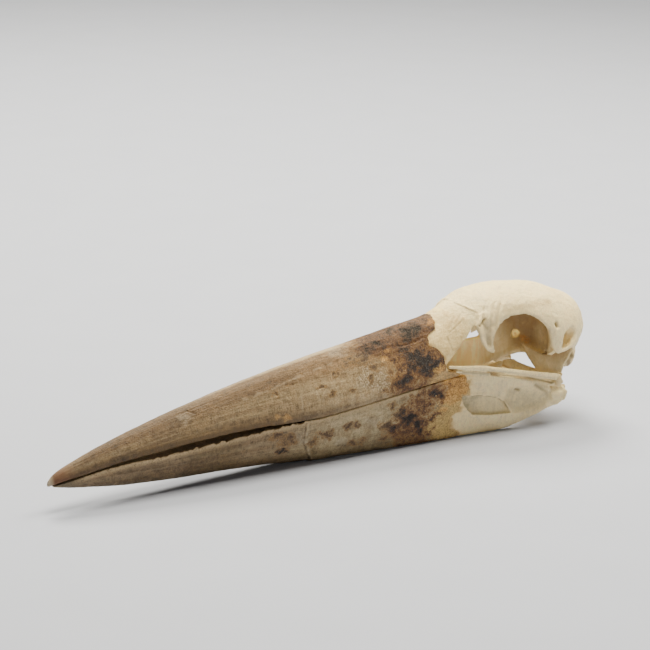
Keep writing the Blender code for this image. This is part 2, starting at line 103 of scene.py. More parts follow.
def copy_of(obj):
    """A copy of an object with its own mesh."""
    return linked("piece", obj.data.copy())


def carve(obj, tool, operation="DIFFERENCE"):
    """Cuts a tool out of the object, or keeps only what lies inside the tool."""
    before = len(obj.data.polygons)
    whole = obj.data
    modify(obj, "BOOLEAN", operation=operation, object=tool, solver="MANIFOLD")
    if len(obj.data.polygons) in (0, before):
        obj.data = whole
        modify(obj, "BOOLEAN", operation=operation, object=tool, solver="EXACT")


def blended(names, grain, passes, growth=GROWTH, extras=()):
    """Solids and extra pieces grown together into one smooth surface, in millimetres."""
    bm = bmesh.new()
    for name in names:
        bm.from_mesh(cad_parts[name].data)
    bmesh.ops.remove_doubles(bm, verts=bm.verts, dist=1e-6)
    bmesh.ops.scale(bm, vec=(1 / MILLIMETRE,) * 3, verts=bm.verts)
    for extra in extras:
        bm.from_mesh(extra.data)
    discard(*extras)
    obj = new_object(bm)
    modify(obj, "DISPLACE", strength=growth, mid_level=0.0)
    modify(obj, "REMESH", mode="VOXEL", voxel_size=grain, adaptivity=0.0)
    modify(obj, "SMOOTH", factor=0.5, iterations=passes)
    return obj


def melt(obj, share, passes):
    """Smooths the surface where share is high, which closes a crease between grown pieces."""
    group = obj.vertex_groups.new(name="melt")
    for index in np.flatnonzero(share > 0.05):
        group.add([int(index)], float(share[index]), "REPLACE")
    modify(obj, "SMOOTH", factor=0.5, iterations=passes, vertex_group="melt")
    obj.vertex_groups.clear()


def discard(*tools):
    """Removes objects that only served to shape others."""
    for tool in tools:
        bpy.data.objects.remove(tool)


def loft(rings):
    """A closed skin through rings that have the same number of points."""
    bm = bmesh.new()
    loops = []
    for ring in rings:
        corners = [bm.verts.new(point) for point in ring]
        loops.append([bm.edges.new((corners[i - 1], corners[i])) for i in range(len(corners))])
    for first, second in zip(loops, loops[1:]):
        bmesh.ops.bridge_loops(bm, edges=first + second)
    for loop in (loops[0], loops[-1]):
        bmesh.ops.contextual_create(bm, geom=loop)
    bmesh.ops.recalc_face_normals(bm, faces=bm.faces)
    return new_object(bm)


def bar(stations):
    """A bar along the skull with an oval section: (x, y, z, half width, half height) at each station."""
    turns = [math.pi * k / 6 for k in range(12)]
    return loft([[(x, y + wide * math.cos(t), z + tall * math.sin(t)) for t in turns]
                 for x, y, z, wide, tall in stations])


def sheet(strips, thicknesses):
    """A curved sheet of bone through strips of points that run from its upper to its lower edge."""
    rings = []
    for strip, thick in zip(strips, thicknesses):
        near = [(x, y - thick / 2, z) for x, y, z in strip]
        far = [(x, y + thick / 2, z) for x, y, z in reversed(strip)]
        rings.append(near + far)
    return loft(rings)


def ball(centre, radii, turn=0.0):
    """An egg-shaped lump, turned about Y by an angle in degrees."""
    bm = bmesh.new()
    bmesh.ops.create_icosphere(bm, subdivisions=3, radius=1.0)
    bmesh.ops.scale(bm, vec=radii, verts=bm.verts)
    bmesh.ops.rotate(bm, cent=(0, 0, 0), matrix=Matrix.Rotation(math.radians(turn), 3, "Y"), verts=bm.verts)
    bmesh.ops.translate(bm, vec=centre, verts=bm.verts)
    return new_object(bm)


def balls(lumps):
    """A ball for each lump of a table."""
    return [ball(centre, radii) for centre, radii in lumps]


def beads(line, radius):
    """A row of small balls along a line, which blend into a rib."""
    row = []
    for start, end in zip(line, line[1:]):
        start, end = Vector(start), Vector(end)
        count = math.ceil((end - start).length / (0.7 * radius))
        row += [ball(start.lerp(end, k / count), (radius,) * 3) for k in range(count)]
    return row


def mirrored(obj):
    """A copy on the other side of the middle plane."""
    twin = copy_of(obj)
    with open_mesh(twin) as bm:
        bmesh.ops.scale(bm, vec=(1, -1, 1), verts=bm.verts)
        bmesh.ops.reverse_faces(bm, faces=bm.faces)
    return twin


def both(*pieces):
    """The pieces and their twins."""
    return [*pieces, *map(mirrored, pieces)]


def prism(outline, low, high, axis="Y"):
    """An outline pushed along Y or Z between two levels: (x, z) or (x, y) points."""
    bm = bmesh.new()
    corners = [bm.verts.new((u, low, v) if axis == "Y" else (u, v, low)) for u, v in outline]
    face = bm.faces.new(corners)
    pushed = bmesh.ops.extrude_face_region(bm, geom=[face])
    rise = (0, high - low, 0) if axis == "Y" else (0, 0, high - low)
    moved = [part for part in pushed["geom"] if isinstance(part, bmesh.types.BMVert)]
    bmesh.ops.translate(bm, vec=rise, verts=moved)
    bmesh.ops.recalc_face_normals(bm, faces=bm.faces)
    return new_object(bm)


def block(front, rear, low, high, half_width):
    """A box across the middle plane."""
    return prism([(front, low), (rear, low), (rear, high), (front, high)], -half_width, half_width)


def curtain(border, half_width=34, middle=46, half_height=50, rear=250):
    """A thick sheet behind a ragged border, which is a function of y and z."""
    bm = bmesh.new()
    bmesh.ops.create_grid(bm, x_segments=100, y_segments=130, size=1.0)
    for vert in bm.verts:
        y, z = half_width * vert.co.x, middle + half_height * vert.co.y
        vert.co = (border(y, z), y, z)
    pushed = bmesh.ops.extrude_face_region(bm, geom=bm.faces[:])
    for part in pushed["geom"]:
        if isinstance(part, bmesh.types.BMVert):
            part.co.x = rear
    bmesh.ops.recalc_face_normals(bm, faces=bm.faces)
    return new_object(bm)


def biggest(obj):
    """Drops loose scraps and keeps the biggest surface."""
    with open_mesh(obj) as bm:
        left = set(bm.faces)
        shells = []
        while left:
            shell = [left.pop()]
            for face in shell:
                for edge in face.edges:
                    near = [other for other in edge.link_faces if other in left]
                    shell.extend(near)
                    left.difference_update(near)
            shells.append(shell)
        shells.sort(key=len)
        scraps = [face for shell in shells[:-1] for face in shell]
        bmesh.ops.delete(bm, geom=scraps, context="FACES")


def one_side(obj, sign):
    """A copy of the part of the object on one side of the middle plane."""
    twin = copy_of(obj)
    with open_mesh(twin) as bm:
        across = [vert for vert in bm.verts if vert.co.y * sign < 0]
        bmesh.ops.delete(bm, geom=across, context="VERTS")
    return twin


# Measuring and moving points

def points_of(obj):
    """The places and the normals of the vertices."""
    count = len(obj.data.vertices)
    places, normals = np.empty(count * 3), np.empty(count * 3)
    obj.data.vertices.foreach_get("co", places)
    obj.data.vertices.foreach_get("normal", normals)
    return places.reshape(-1, 3), normals.reshape(-1, 3)


def place_points(obj, places):
    """Moves the vertices to new places."""
    obj.data.vertices.foreach_set("co", places.ravel())
    obj.data.update()


def paint(obj, name, values):
    """Stores a number for each vertex."""
    layer = obj.data.attributes.new(name, "FLOAT", "POINT")
    layer.data.foreach_set("value", np.clip(values, 0, 1).astype(np.float32))


def ripple(places, scale, seed):
    """Smooth noise from about -1 to 1 at each place; scale is one number or one for each axis."""
    spots = places * np.array(scale) + seed * 17.3
    return np.array([noise.noise(spot) for spot in spots.tolist()])


def folded(places):
    """The places with both sides laid over each other."""
    return places * (1, 0, 1) + np.abs(places) * (0, -1, 0)


def ease(low, high, values):
    """0 below low, 1 above high and smooth between."""
    t = np.clip((values - low) / (high - low), 0, 1)
    return t * t * (3 - 2 * t)


def blots(places, marks, stretch=1.0):
    """Soft marks on both sides, each (x, y, z, radius), longer along the bill by stretch."""
    spots = folded(places)
    mask = np.zeros(len(places))
    for x, y, z, radius in marks:
        away = (spots - (x, y, z)) / (radius * stretch, radius, radius)
        mask = np.maximum(mask, ease(1.7, 0.2, np.linalg.norm(away, axis=1)))
    return mask


def warped(places, scale, reach, seed):
    """The places pushed about by noise, so that a mark drawn on them wanders."""
    return places + reach * np.column_stack([ripple(places, scale, seed + k) for k in range(3)])


def stroke(places, line, width):
    """A soft line on both sides, 1 in its middle."""
    spots = folded(places)
    away = np.full(len(places), 1e9)
    for start, end in zip(line, line[1:]):
        start, way = np.array(start), np.subtract(end, start)
        along = np.clip((spots - start) @ way / (way @ way), 0, 1)
        away = np.minimum(away, np.linalg.norm(spots - start - along[:, None] * way, axis=1))
    return np.exp(-(away / width) ** 2)


def strokes(places, *lines):
    """Soft lines added up, each as (line, height, width)."""
    return sum(height * stroke(places, line, width) for line, height, width in lines)


def inside(places, outline):
    """How far each place is inside an outline of (x, z) points, negative outside."""
    x, z = places[:, 0], places[:, 2]
    away, within = np.full(len(places), 1e9), np.zeros(len(places), bool)
    for (x0, z0), (x1, z1) in zip(outline, outline[1:] + outline[:1]):
        run, rise = x1 - x0, z1 - z0
        along = np.clip(((x - x0) * run + (z - z0) * rise) / (run ** 2 + rise ** 2), 0, 1)
        away = np.minimum(away, np.hypot(x - x0 - along * run, z - z0 - along * rise))
        crosses = (z0 > z) != (z1 > z)
        if rise:
            within ^= crosses & (x < x0 + (z - z0) / rise * run)
    return np.where(within, away, -away)


# Borders between horn and bone, as pairs of a height and the x where the horn ends

UPPER_BORDER = (
    (30, 96), (43.5, 96), (44.5, 78), (45.8, 72), (49.7, 71), (55.1, 71.2), (60.1, 67.7), (62.9, 62.6),
    (67, 63.9), (70.6, 70), (73.4, 73.7), (76.8, 73.9), (96, 76))
LOWER_BORDER = (
    (-5, 86), (3.3, 82.8), (7.9, 76.8), (15.4, 76.5), (20.4, 82.7), (25, 83.7), (29.7, 87.6), (34.7, 88.8),
    (39, 86.5), (44, 86.5))


def border_at(border, places):
    """Where the horn ends at each place, without its ragged edge."""
    heights, ends = zip(*border)
    return np.interp(places[:, 2], heights, ends)


def ragged(border):
    """The torn edge of the horn as a function of y and z."""
    heights, ends = zip(*border)

    def value(y, z):
        tear = 1.5 * noise.noise((0.3 * y, 0.42 * z, 3.1)) + 0.8 * noise.noise((1.0 * y, 1.2 * z, 7.7))
        return float(np.interp(z, heights, ends)) + tear
    return value


def wandering(line, step, reach):
    """A line of (x, y) points with more points, which stray a little and alike on both sides."""
    spots = []
    for start, end in zip(line, line[1:]):
        count = max(1, round(math.dist(start, end) / step))
        for k in range(count):
            x, y = Vector(start).lerp(Vector(end), k / count)
            spots.append((x + reach * noise.noise((0.5 * abs(y), 0.4, 5.2)), y))
    return spots + [line[-1]]


def shrink_under(obj, border, thickness):
    """Draws bone in under the horn, and lets it rise again behind the edge."""
    places, normals = points_of(obj)
    ahead = border_at(border, places) - places[:, 0]
    depth = thickness * ease(-7.0, 1.0, ahead)
    place_points(obj, places - normals * depth[:, None])


# Horn: lines of (x, y, z) points and marks of (x, y, z, radius) on the left side

UPPER_PITS = [
    (-44.4, -11.8, 48.3, 0.9), (-36.4, -10.3, 52.4, 0.9), (-32.5, -10.8, 52.2, 0.7),
    (-15.1, -14.5, 48.9, 1.1), (-8.2, -17, 44, 1.3), (-4, -12.7, 54.7, 1)]
UPPER_CRACK = [(-101.1, -3.9, 46.2), (-99, -5.6, 45.6), (-96.8, -6.9, 44.5)]
NOSTRIL = [(43.3, -12.6, 63.9), (55.5, -13.2, 65.3), (61.9, -12.5, 67.2)]
LIP_RIDGE = [(-150.7, -7.3, 28), (-110.9, -11.3, 31.5), (-60.8, -15.1, 34.1), (-38.7, -16.9, 34)]
LOWER_CRACK = [
    (-26, -15.9, 28.1), (-26.2, -15.2, 22.3), (-26.6, -13.5, 15.6), (-22.9, -11.2, 9.1),
    (-17.7, -6.2, 1.6)]
LOWER_RIDGE = [
    (-24.6, -16.1, 28.1), (-25.1, -15.7, 22.5), (-25.3, -14.2, 15.8), (-21.4, -11.5, 9.1),
    (-17.5, -8.4, 2.4)]
UPPER_SCARS = (
    [(-28.6, -14.5, 45.7), (-28.7, -16.9, 37)], [(-18.3, -15, 47.1), (-16.7, -16.8, 41.7)],
    [(-65.6, -9.3, 48.2), (-43.7, -9.7, 52), (-22.2, -8.9, 56.8), (-3.4, -8.6, 60.5)])
LOWER_SCARS = (LOWER_RIDGE,)
UPPER_MARKS = {
    "black": [
        (50, -6.4, 71.6, 2.4), (55, -7.4, 71.4, 4), (59, -7.6, 71.8, 3.2), (49.5, -11.5, 67.5, 2.2),
        (46, -15.1, 60.9, 3.4), (51.9, -17.4, 58, 4.6), (57.7, -19.8, 53.8, 5.6), (61.9, -21.3, 50.3, 5),
        (48.1, -20.1, 51.6, 3.4), (66, -20.5, 52, 3.2), (31, -8, 68, 2.2), (57, -21, 48, 3.4)],
    "white": [(-103.4, -6.6, 43.1, 4.2), (3.6, -4.4, 65.1, 5), (12.5, -3, 67.5, 3)],
    "brown": [
        (8.7, -10.9, 59.7, 3.6), (17.2, -11.2, 60.9, 5), (24, -8, 65, 3), (-2.7, -13, 54.6, 2),
        (-15.1, -14.5, 48.9, 1.3), (-8.2, -17, 44, 1.8), (-44.4, -11.8, 48.3, 1.4), (20, -17, 49, 2),
        (-35.9, -10.5, 52.1, 0.9), (-11.9, -15, 48.5, 1), (6.6, -18.5, 43.1, 1.5), (24, -15.5, 55, 2.4),
        (44, -21, 46, 2.6), (38, -20.5, 43.5, 2.6), (42.5, -3.5, 71.8, 1.8)],
    "speckle": [(19.9, -15.8, 54, 4), (22.5, -18.6, 48, 6), (28.1, -20.1, 44.3, 5.6), (14, -17, 50, 3.4)],
    "ochre": [
        (-39.6, -16.3, 34.4, 2.2), (-45.5, -15.8, 35.9, 1.8), (36.9, -10.1, 65.6, 3),
        (35.6, -12.1, 63.1, 3.4), (36.3, -16.4, 56.5, 4), (37.5, -20.2, 47.1, 3.6), (67.2, -16.8, 62.4, 3),
        (69.3, -21.4, 52.3, 3), (33.4, -12.6, 62.2, 3), (38.6, -9.5, 67, 2.4)],
    "bright": [(71.6, -7.4, 74.2, 2.8), (67, -21.8, 47.6, 3), (35.6, -12.6, 61.9, 2), (30.9, -14.5, 58, 2)],
}
LOWER_MARKS = {
    "black": [
        (-40.9, -11.5, 12.6, 1.5), (-37.9, -11.2, 11.3, 1.5), (47.1, -19.6, 19.8, 3),
        (51.9, -19.2, 14.9, 2.8), (55.4, -18.5, 10.2, 2.8), (62, -18.8, 12, 2.2), (65.7, -21.6, 31.8, 2.4),
        (62, -21.5, 33.7, 2), (69.5, -21.7, 29.9, 2), (64.6, -20.4, 18.1, 2.6)],
    "white": [(-30.9, -14.7, 21.1, 4), (-27.7, -14, 17.8, 3.6), (20, -17.5, 22, 5), (0, -15.5, 11.5, 4)],
    "brown": [
        (-46, -14.1, 23.1, 3), (-37.3, -13.7, 18.9, 4.4), (-19.6, -13.7, 15, 3), (-11, -15.8, 18.4, 3),
        (-14.7, -16, 21, 2), (3.1, -17.4, 22, 2), (8, -17.6, 21.8, 2.2), (7.1, -14.6, 9.6, 2.4),
        (13.3, -15.2, 9.9, 2.2), (30.3, -18.2, 17.3, 3.4), (34.2, -18, 14.6, 2.8), (29.4, -16.3, 9.2, 2),
        (34.1, -20, 30.5, 2.6), (38.2, -19.5, 23.3, 3.2)],
    "ochre": [
        (61.5, -18.5, 8.5, 2.8), (70.6, -18.6, 6.2, 3), (78.6, -22.5, 36.3, 3.4), (82.6, -22.3, 32.3, 3),
        (60, -20.9, 26.5, 3)],
    "bright": [(76, -22, 26.7, 3), (70.6, -21.3, 21.9, 2.4)],
}


def limits(places, choose):
    """The highest or lowest z, or the widest y, in slices along the bill, as a function of x."""
    slices = np.arange(*BILL_SPAN, SLICE)
    found = []
    for start in slices:
        near = places[np.abs(places[:, 0] - start) < 2.5]
        found.append(choose(near) if len(near) else np.nan)
    found = np.array(found)
    good = ~np.isnan(found)
    return lambda x: np.interp(x, slices[good], found[good])


def dress_horn(obj, upper):
    """Fibres, chips, pits and stains of the horn sheath, with its painted shade and painted highlight."""
    places, normals = points_of(obj)
    x, z = places[:, 0], places[:, 2]
    top = limits(places, lambda near: near[:, 2].max())(x)
    foot = limits(places, lambda near: near[:, 2].min())(x)
    wide = limits(places, lambda near: np.abs(near[:, 1]).max())(x)
    share = (z - foot if upper else top - z) / (top - foot)
    turn = np.arctan2(share, np.abs(places[:, 1]) / wide)
    fibre = np.column_stack([x, 20 * turn, 3 * np.sign(places[:, 1])])
    layer = obj.data.attributes.new("fibre", "FLOAT_VECTOR", "POINT")
    layer.data.foreach_set("vector", fibre.astype(np.float32).ravel())

    lift = 0.13 * ripple(fibre, (0.03, 0.8, 1), 1) + 0.07 * ripple(fibre, (0.08, 2.2, 1), 2)
    lift += 0.28 * ripple(places, 0.06, 3) + 0.1 * ripple(places, 0.35, 4)
    lift *= ease(-188, -170, x)
    wear = ease(0.25, 0.7, ripple(places, (0.9, 0.5, 0.9), 5))
    if upper:
        lift += strokes(places, (UPPER_CRACK, -0.4, 0.5), (NOSTRIL, -0.15, 0.9), (LIP_RIDGE, 0.3, 1.5))
        lift -= 0.5 * blots(places, UPPER_PITS) + 0.35 * wear * ease(25, 45, x)
    else:
        lift += strokes(places, (LOWER_CRACK, -0.45, 0.6), (LOWER_RIDGE, 0.35, 1.2))
        lift -= 0.4 * wear * ease(-45, -30, x)
    moved = places + normals * lift[:, None]
    if not upper:
        lip = ease(3, 0.4, top - z) * ease(-135, -118, x) * ease(-18, -30, x)
        chips = ripple(places, (0.55, 0.2, 0), 6) + 0.8 * ripple(places, (1.5, 0.3, 0), 7)
        moved[:, 2] += lip * (1.2 * chips - 0.4)
    place_points(obj, moved)

    spots = warped(places, 0.25, 2.4, 8)
    wander = spots - places
    strayed = warped(places, 0.3, 0.9, 12)
    marks = UPPER_MARKS if upper else LOWER_MARKS
    tints = {name: blots(spots, group, 1.4) for name, group in marks.items()}
    if upper:
        band = np.minimum(border_at(UPPER_BORDER, places), 74) - x
        reach = 38 + 12 * ease(58, 68, z) + 14 * ease(70, 79, z) + 4 * ease(50, 44, z)
        scars, crack = UPPER_SCARS, UPPER_CRACK
        # A painted highlight along the top ridge of the upper bill
        tints["culmen_highlight"] = ease(0.965, 0.995, share) * ease(22, 2, x)
        tints["lip"] = ease(7, 1.5, z - foot) * ease(-160, -130, x) * ease(-25, -45, x)
        tints["fringe"] = ease(9, 3, z - foot) * ease(54, 64, x)
        tints["shade"] = ease(10, 1, z - foot) * ease(25, -15, x)
        # Painted shade on the upper sides of the upper bill, darkened where the lamp above lights them
        # strongly
        tints["shaded_shoulder"] = ease(0.5, 0.8, share) * ease(-188, -160, x)
        tints["tip"] = ease(-172, -184, x)
    else:
        band = border_at(LOWER_BORDER, places) - x
        reach = 44
        scars, crack = LOWER_SCARS, LOWER_CRACK
        tints["fringe"] = ease(4.5, 0.8, top - z) * ease(62, 46, x)
        tints["shade"] = ease(0.5, 0.95, share) * ease(-188, -150, x)
        tints["seep"] = ease(23, 9, band + 2 * wander[:, 1])
        tints["tip"] = ease(-164, -180, x)
        tints["lower"] = np.ones_like(x)
    scar = np.max([stroke(strayed, line, 0.7) for line in scars], axis=0)
    tints["scar"] = scar * ease(-0.5, 0.3, ripple(places, 0.4, 11))
    tints["crack"] = stroke(strayed, crack, 0.45)
    tints["rust"] = ease(reach + 7, reach - 7, band + 2.5 * wander[:, 0])
    tints["point"] = ease(-186, -189, x)
    for name, values in tints.items():
        paint(obj, name, values)


# Bone: lines, marks and (x, z) outlines on the left side

SUTURE = [(90.4, 0, 82.6), (91.2, -5, 82.2), (93.8, -12, 80.7), (97.4, -18, 78.3), (100.6, -20.6, 77)]
NASAL_CREASES = (
    [(85.6, -11, 76.3), (82.5, -13.1, 73.1), (79.2, -14.2, 70.3)],
    [(90.9, -11.8, 78.5), (85.7, -13.9, 74.1), (82.4, -16.4, 69.4)],
    [(76.4, -16.5, 65.9), (76.6, -19, 62), (77.2, -20.8, 58.5)],
    [(88.5, -15.5, 75), (85.2, -15.7, 72), (78.9, -16, 68)])
BROW_RIDGES = (
    [(108.4, -18.2, 83.1), (105.4, -21.3, 79.2), (102.7, -23.3, 74.9)],
    [(111.9, -19.7, 83), (109, -22.5, 78.3), (105.7, -24.2, 72.8)],
    [(115.3, -21.3, 81.5), (112, -23.7, 77.4), (109.8, -24.8, 73.6)])
BROW_VALLEYS = (
    [(110.5, -18.5, 83), (107.3, -21.8, 78.8), (104.4, -23.7, 73.7), (103.5, -24.4, 66.9)],
    [(113.8, -20.2, 82.2), (110.6, -23.1, 77.9), (108.2, -24, 73), (106.4, -25.4, 68)],
    [(106.5, -15.5, 84.1), (102.6, -18.7, 80.3), (99.4, -21.8, 76.9), (99, -23.2, 72.5)])
LACRIMAL_RIB = [
    (97.8, -21.8, 75.5), (96.4, -23.2, 71.5), (95.9, -24.2, 68), (96.2, -24.8, 64.7), (98.3, -25.3, 60),
    (102.4, -25.1, 55.2)]
LACRIMAL_VALLEY = [(101.7, -23.3, 69.1), (101.5, -23.8, 64.5), (103, -24.1, 59.5)]
LACRIMAL_CLEFT = [(100.4, -22.8, 75.2), (98.4, -23.1, 73.3), (95.8, -24, 71.7)]
LACRIMAL_LIP = [(100.5, -20.6, 78.5), (98, -22, 76), (95.7, -23.4, 72.9)]
LACRIMAL_FOLD = [(100.3, -23.1, 70.4), (102.9, -23.8, 69.9), (106, -24.8, 69.9)]
LACRIMAL_PIT = [(99.4, -23.2, 71.8), (100.4, -23.1, 69)]
LACRIMAL_REAR = [(108.5, -25.2, 71.5), (105.8, -25.8, 67), (104.8, -25.6, 62), (104.6, -25.2, 56)]
FORAMEN = [(150.1, -31.3, 66.4), (150.5, -31.3, 64.6)]
SLIVER = [(137.8, -1.4, 57), (138.6, -0.8, 53)]
BITS = [(144.2, -2.9, 52.2, 1.4), (145.4, -3.7, 51.1, 2.2), (147, -5.4, 49.8, 1.8)]
LOBE_SHADES = [(167.5, -24.2, 36.8, 3), (170, -24, 40.6, 2), (166.4, -24.2, 35.4, 2)]
CHEEK_GAP = [
    (104.3, -24.9, 39.7), (117.5, -27, 37), (126.6, -27.5, 34.9), (136, -28.6, 32.3), (148.7, -29.8, 28.2)]
JAW_RIDGE = [
    (123.4, -28, 33.7), (131.2, -28.8, 31.2), (139.2, -29.5, 27.2), (147, -29.9, 23.8),
    (149.5, -30.6, 17.1)]
JAW_CREASE = [(136.6, -29, 28.1), (140.4, -29.3, 25.3), (144.8, -28.4, 22.2), (147.2, -27.1, 17.8)]
JAW_HOLE = [(123.4, -26.8, 26.5), (125.8, -27, 25.8)]
JAW_SLIT = [(105.2, -24, 39.6), (107, -24.6, 39.1), (109, -25.1, 38.6), (111.2, -25.3, 38)]
JAW_HOLLOW = [
    (116, 31.5), (128, 29.4), (137, 26.6), (144, 23.6), (148, 20.5), (149.5, 16.5), (146, 10.5),
    (134, 8.5), (122, 10.5), (112, 20)]
RECESS = [
    (84, 28.4), (86.4, 21), (92.4, 14.6), (104.6, 12.6), (120.2, 11.9), (114.8, 19.2), (109.2, 23.8),
    (97, 26.8)]
POCKET_STAIN = [(163.1, -23.7, 53.9, 5)]
WINDOW = (140.3, 54.4)


def skull_relief(places, strayed):
    """How far seams, ridges and hollows of the skull stand out."""
    lift = strokes(strayed, (SUTURE, 0.2, 1.4), (SUTURE, -0.38, 0.55), (LACRIMAL_FOLD, -0.2, 0.9))
    for crease in NASAL_CREASES:
        lift += strokes(strayed, (crease, 0.2, 1.3), (crease, -0.4, 0.6))
    uneven = 0.8 + 0.5 * ripple(places, 0.2, 26)
    for ridge, valley in zip(BROW_RIDGES, BROW_VALLEYS):
        lift += uneven * strokes(strayed, (ridge, 0.42, 0.8), (valley, -0.58, 0.6))
    return lift + strokes(places, (LACRIMAL_REAR, 0.45, 0.9), (LACRIMAL_VALLEY, -0.9, 1.4),
                          (LACRIMAL_LIP, 0.5, 0.8), (LACRIMAL_CLEFT, -1.4, 0.6), (LACRIMAL_PIT, -0.7, 1.1),
                          (FORAMEN, -2.8, 1.1))


def jaw_relief(places, outer, hollow):
    """How far ridges, holes and the recess of the jaw stand out."""
    x, z = places[:, 0], places[:, 2]
    depth = inside(places, RECESS)
    lift = outer * 0.5 * ease(-2.4, -0.4, depth) * ease(0.1, -0.1, depth)
    lift -= outer * ease(-0.2, 0.6, depth) * (1.4 + 0.5 * ease(108, 92, x)) * (0.4 + 0.6 * ease(13, 21, z))
    lift += outer * 0.7 * stroke(places, JAW_RIDGE, 1.3) - 2.4 * hollow
    lift += strokes(places, (JAW_HOLE, -1.3, 0.8), (JAW_SLIT, -0.8, 0.8), (JAW_CREASE, -1, 1.1),
                    (CHEEK_GAP, -1.3, 0.9))
    return lift + ease(151, 156, x) * (0.8 * ripple(places, 0.33, 28) + 0.4 * ripple(places, 0.75, 30))


def seeped(places, border, reach):
    """Where the horn has stained the bone behind its edge."""
    x = places[:, 0]
    behind = x - border_at(border, places) + 4 * ripple(places, 0.22, 24)
    return ease(reach, -1, behind) * ease(104, 84, x)


def skull_tints(places, strayed):
    """Thin, lined and stained places of the skull, its painted shade in hollows and clefts, and its painted
    bright window, each from 0 to 1.
    """
    x, y, z = places.T
    near = np.abs(y)
    plate = ease(3.4, 2.2, near) * ease(80, 79, z) * ease(78, 82, x) * ease(156, 150, x)
    # The socket's lining, which the finish deepens into painted shade at its upper rear
    socket = ease(27, 21, near) * ease(112, 117, x) * ease(155, 148, x) * ease(82, 78, z) * ease(42, 50, z)
    cavity = ease(86, 74, x) * ease(21, 18, near) * ease(74, 70, z)
    sliver = stroke(places, SLIVER, 0.9)
    # A painted bright window: the spot where light shines through the thin plate
    from_window = np.hypot(strayed[:, 0] - WINDOW[0], 1.22 * (strayed[:, 2] - WINDOW[1]))
    lit_disc = ease(3.6, 2.9, from_window) * ease(4, 3, near)
    lit_disc *= 0.8 + 0.5 * ripple(places, 0.45, 29)
    lit_disc *= 1 - 0.9 * sliver
    seam = stroke(strayed, SUTURE, 0.9) * ease(-0.3, 0.4, ripple(places, 0.25, 27))
    # Dark suture lines, and painted shade along the brow valleys and nasal creases
    lines = [0.6 * stroke(strayed, line, 0.55) for line in (*BROW_VALLEYS, *NASAL_CREASES)]
    lines.append(0.6 * stroke(strayed, SUTURE, 0.55) * seam)
    # Painted shade in the foramen, between the lobes, along the sliver and in the lacrimal's cleft, pit and
    # valley
    crevice_shades = [stroke(places, FORAMEN, 1), 0.9 * blots(strayed, LOBE_SHADES), 0.7 * sliver,
             0.8 * stroke(places, LACRIMAL_CLEFT, 0.6), 0.3 * stroke(strayed, LACRIMAL_PIT, 1.3),
             0.25 * stroke(places, LACRIMAL_VALLEY, 1)]
    return {
        "thin": np.maximum(plate, 0.75 * blots(places, POCKET_STAIN)),
        "socket": np.maximum(socket, 0.6 * cavity),
        "seep": np.maximum(seeped(places, UPPER_BORDER, 4), 0.52 * ease(98, 86, x) * ease(85, 76, z)),
        "seam": seam,
        "line": np.max(lines, axis=0),
        "lit_window": lit_disc,
        "scrap": blots(strayed, BITS),
        # A painted highlight along the thin plate's top edge
        "edge": plate * ease(55.2, 56.2, z) * ease(116, 113, x),
        # Painted shade down the lacrimal's valley
        "recess_shade": 0.75 * stroke(places, LACRIMAL_VALLEY, 2.4),
        "crevice_shade": np.max(crevice_shades, axis=0),
    }


def jaw_tints(places, hollow):
    """Stained places of the jaw, and painted shade in its recess, hollow, creases, holes and gaps, each from
    0 to 1.
    """
    x, y, z = places.T
    depth = inside(places, RECESS)
    outline = np.exp(-(depth / 0.5) ** 2) * ease(16, 22, np.abs(y)) * ease(-0.3, 0.1, ripple(places, 0.3, 25))
    # Painted shade in the recess, darker towards its upper left, in the hollow and beside the crease
    recess_shade = ease(0, 1, depth) * (0.4 + 0.6 * ease(80, 68, x - z))
    top = ease(38, 38.8, z + 0.28 * (x - 105)) * ease(103.4, 104.4, x)
    top *= 0.4 * ease(122, 112, x) + 0.6 * ease(112, 108, x)
    gap_shade_strength = 0.4 + 0.6 * ease(112, 106, x) + 0.4 * ease(126, 132, x)
    # Painted shade: the recess's rim, the gap under the cheek bar, the jaw's hidden top edge, the crease, the
    # hole and the slit
    crevice_shades = [outline * (0.12 + 0.88 * ease(13, 18, z)), stroke(places, CHEEK_GAP, 0.9) * gap_shade_strength, top,
             0.8 * stroke(places, JAW_CREASE, 1.1), stroke(places, JAW_HOLE, 0.9),
             stroke(places, JAW_SLIT, 1.1)]
    return {
        "seep": seeped(places, LOWER_BORDER, 6),
        "recess_shade": np.maximum(recess_shade, 0.6 * hollow + 0.4 * stroke(places, JAW_CREASE, 2.2)),
        "crevice_shade": np.max(crevice_shades, axis=0),
    }


def dress_bone(obj, jaw=False):
    """Pores, creases, holes and tints of the bare bone."""
    places, normals = points_of(obj)
    lift = 0.3 * ripple(places, 0.07, 21) + 0.2 * ripple(places, 0.25, 22) + 0.08 * ripple(places, 0.8, 23)
    if jaw:
        outer = ease(0.1, 0.5, normals[:, 1] * np.sign(places[:, 1]))
        hollow = outer * ease(-0.5, 6, inside(places, JAW_HOLLOW))
        lift += jaw_relief(places, outer, hollow)
        tints = jaw_tints(places, hollow)
        rear, pressed = 159.5, 0.5
    else:
        strayed = warped(places, 0.22, 0.6, 41)
        lift += skull_relief(places, strayed)
        tints = skull_tints(places, strayed)
        rear, pressed = 160, 0.14 * ease(58, 48, places[:, 2])
    moved = places + normals * lift[:, None]
    moved[:, 0] -= pressed * np.maximum(moved[:, 0] - rear, 0)
    place_points(obj, moved)
    for name, values in tints.items():
        paint(obj, name, values)


# Finishes

class Value:
    """A shader socket that takes part in plain arithmetic."""

    def __init__(self, finish, socket):
        self.finish = finish
        self.socket = socket

    def math(self, operation, *terms):
        return self.finish.node("Math", {"operation": operation}, dict(enumerate(terms)))

    def __add__(self, other):
        return self.math("ADD", self, other)

    def __mul__(self, other):
        return self.math("MULTIPLY", self, other)

    def __sub__(self, other):
        return self.math("SUBTRACT", self, other)

    def __rsub__(self, other):
        return self.math("SUBTRACT", other, self)

    __radd__ = __add__
    __rmul__ = __mul__


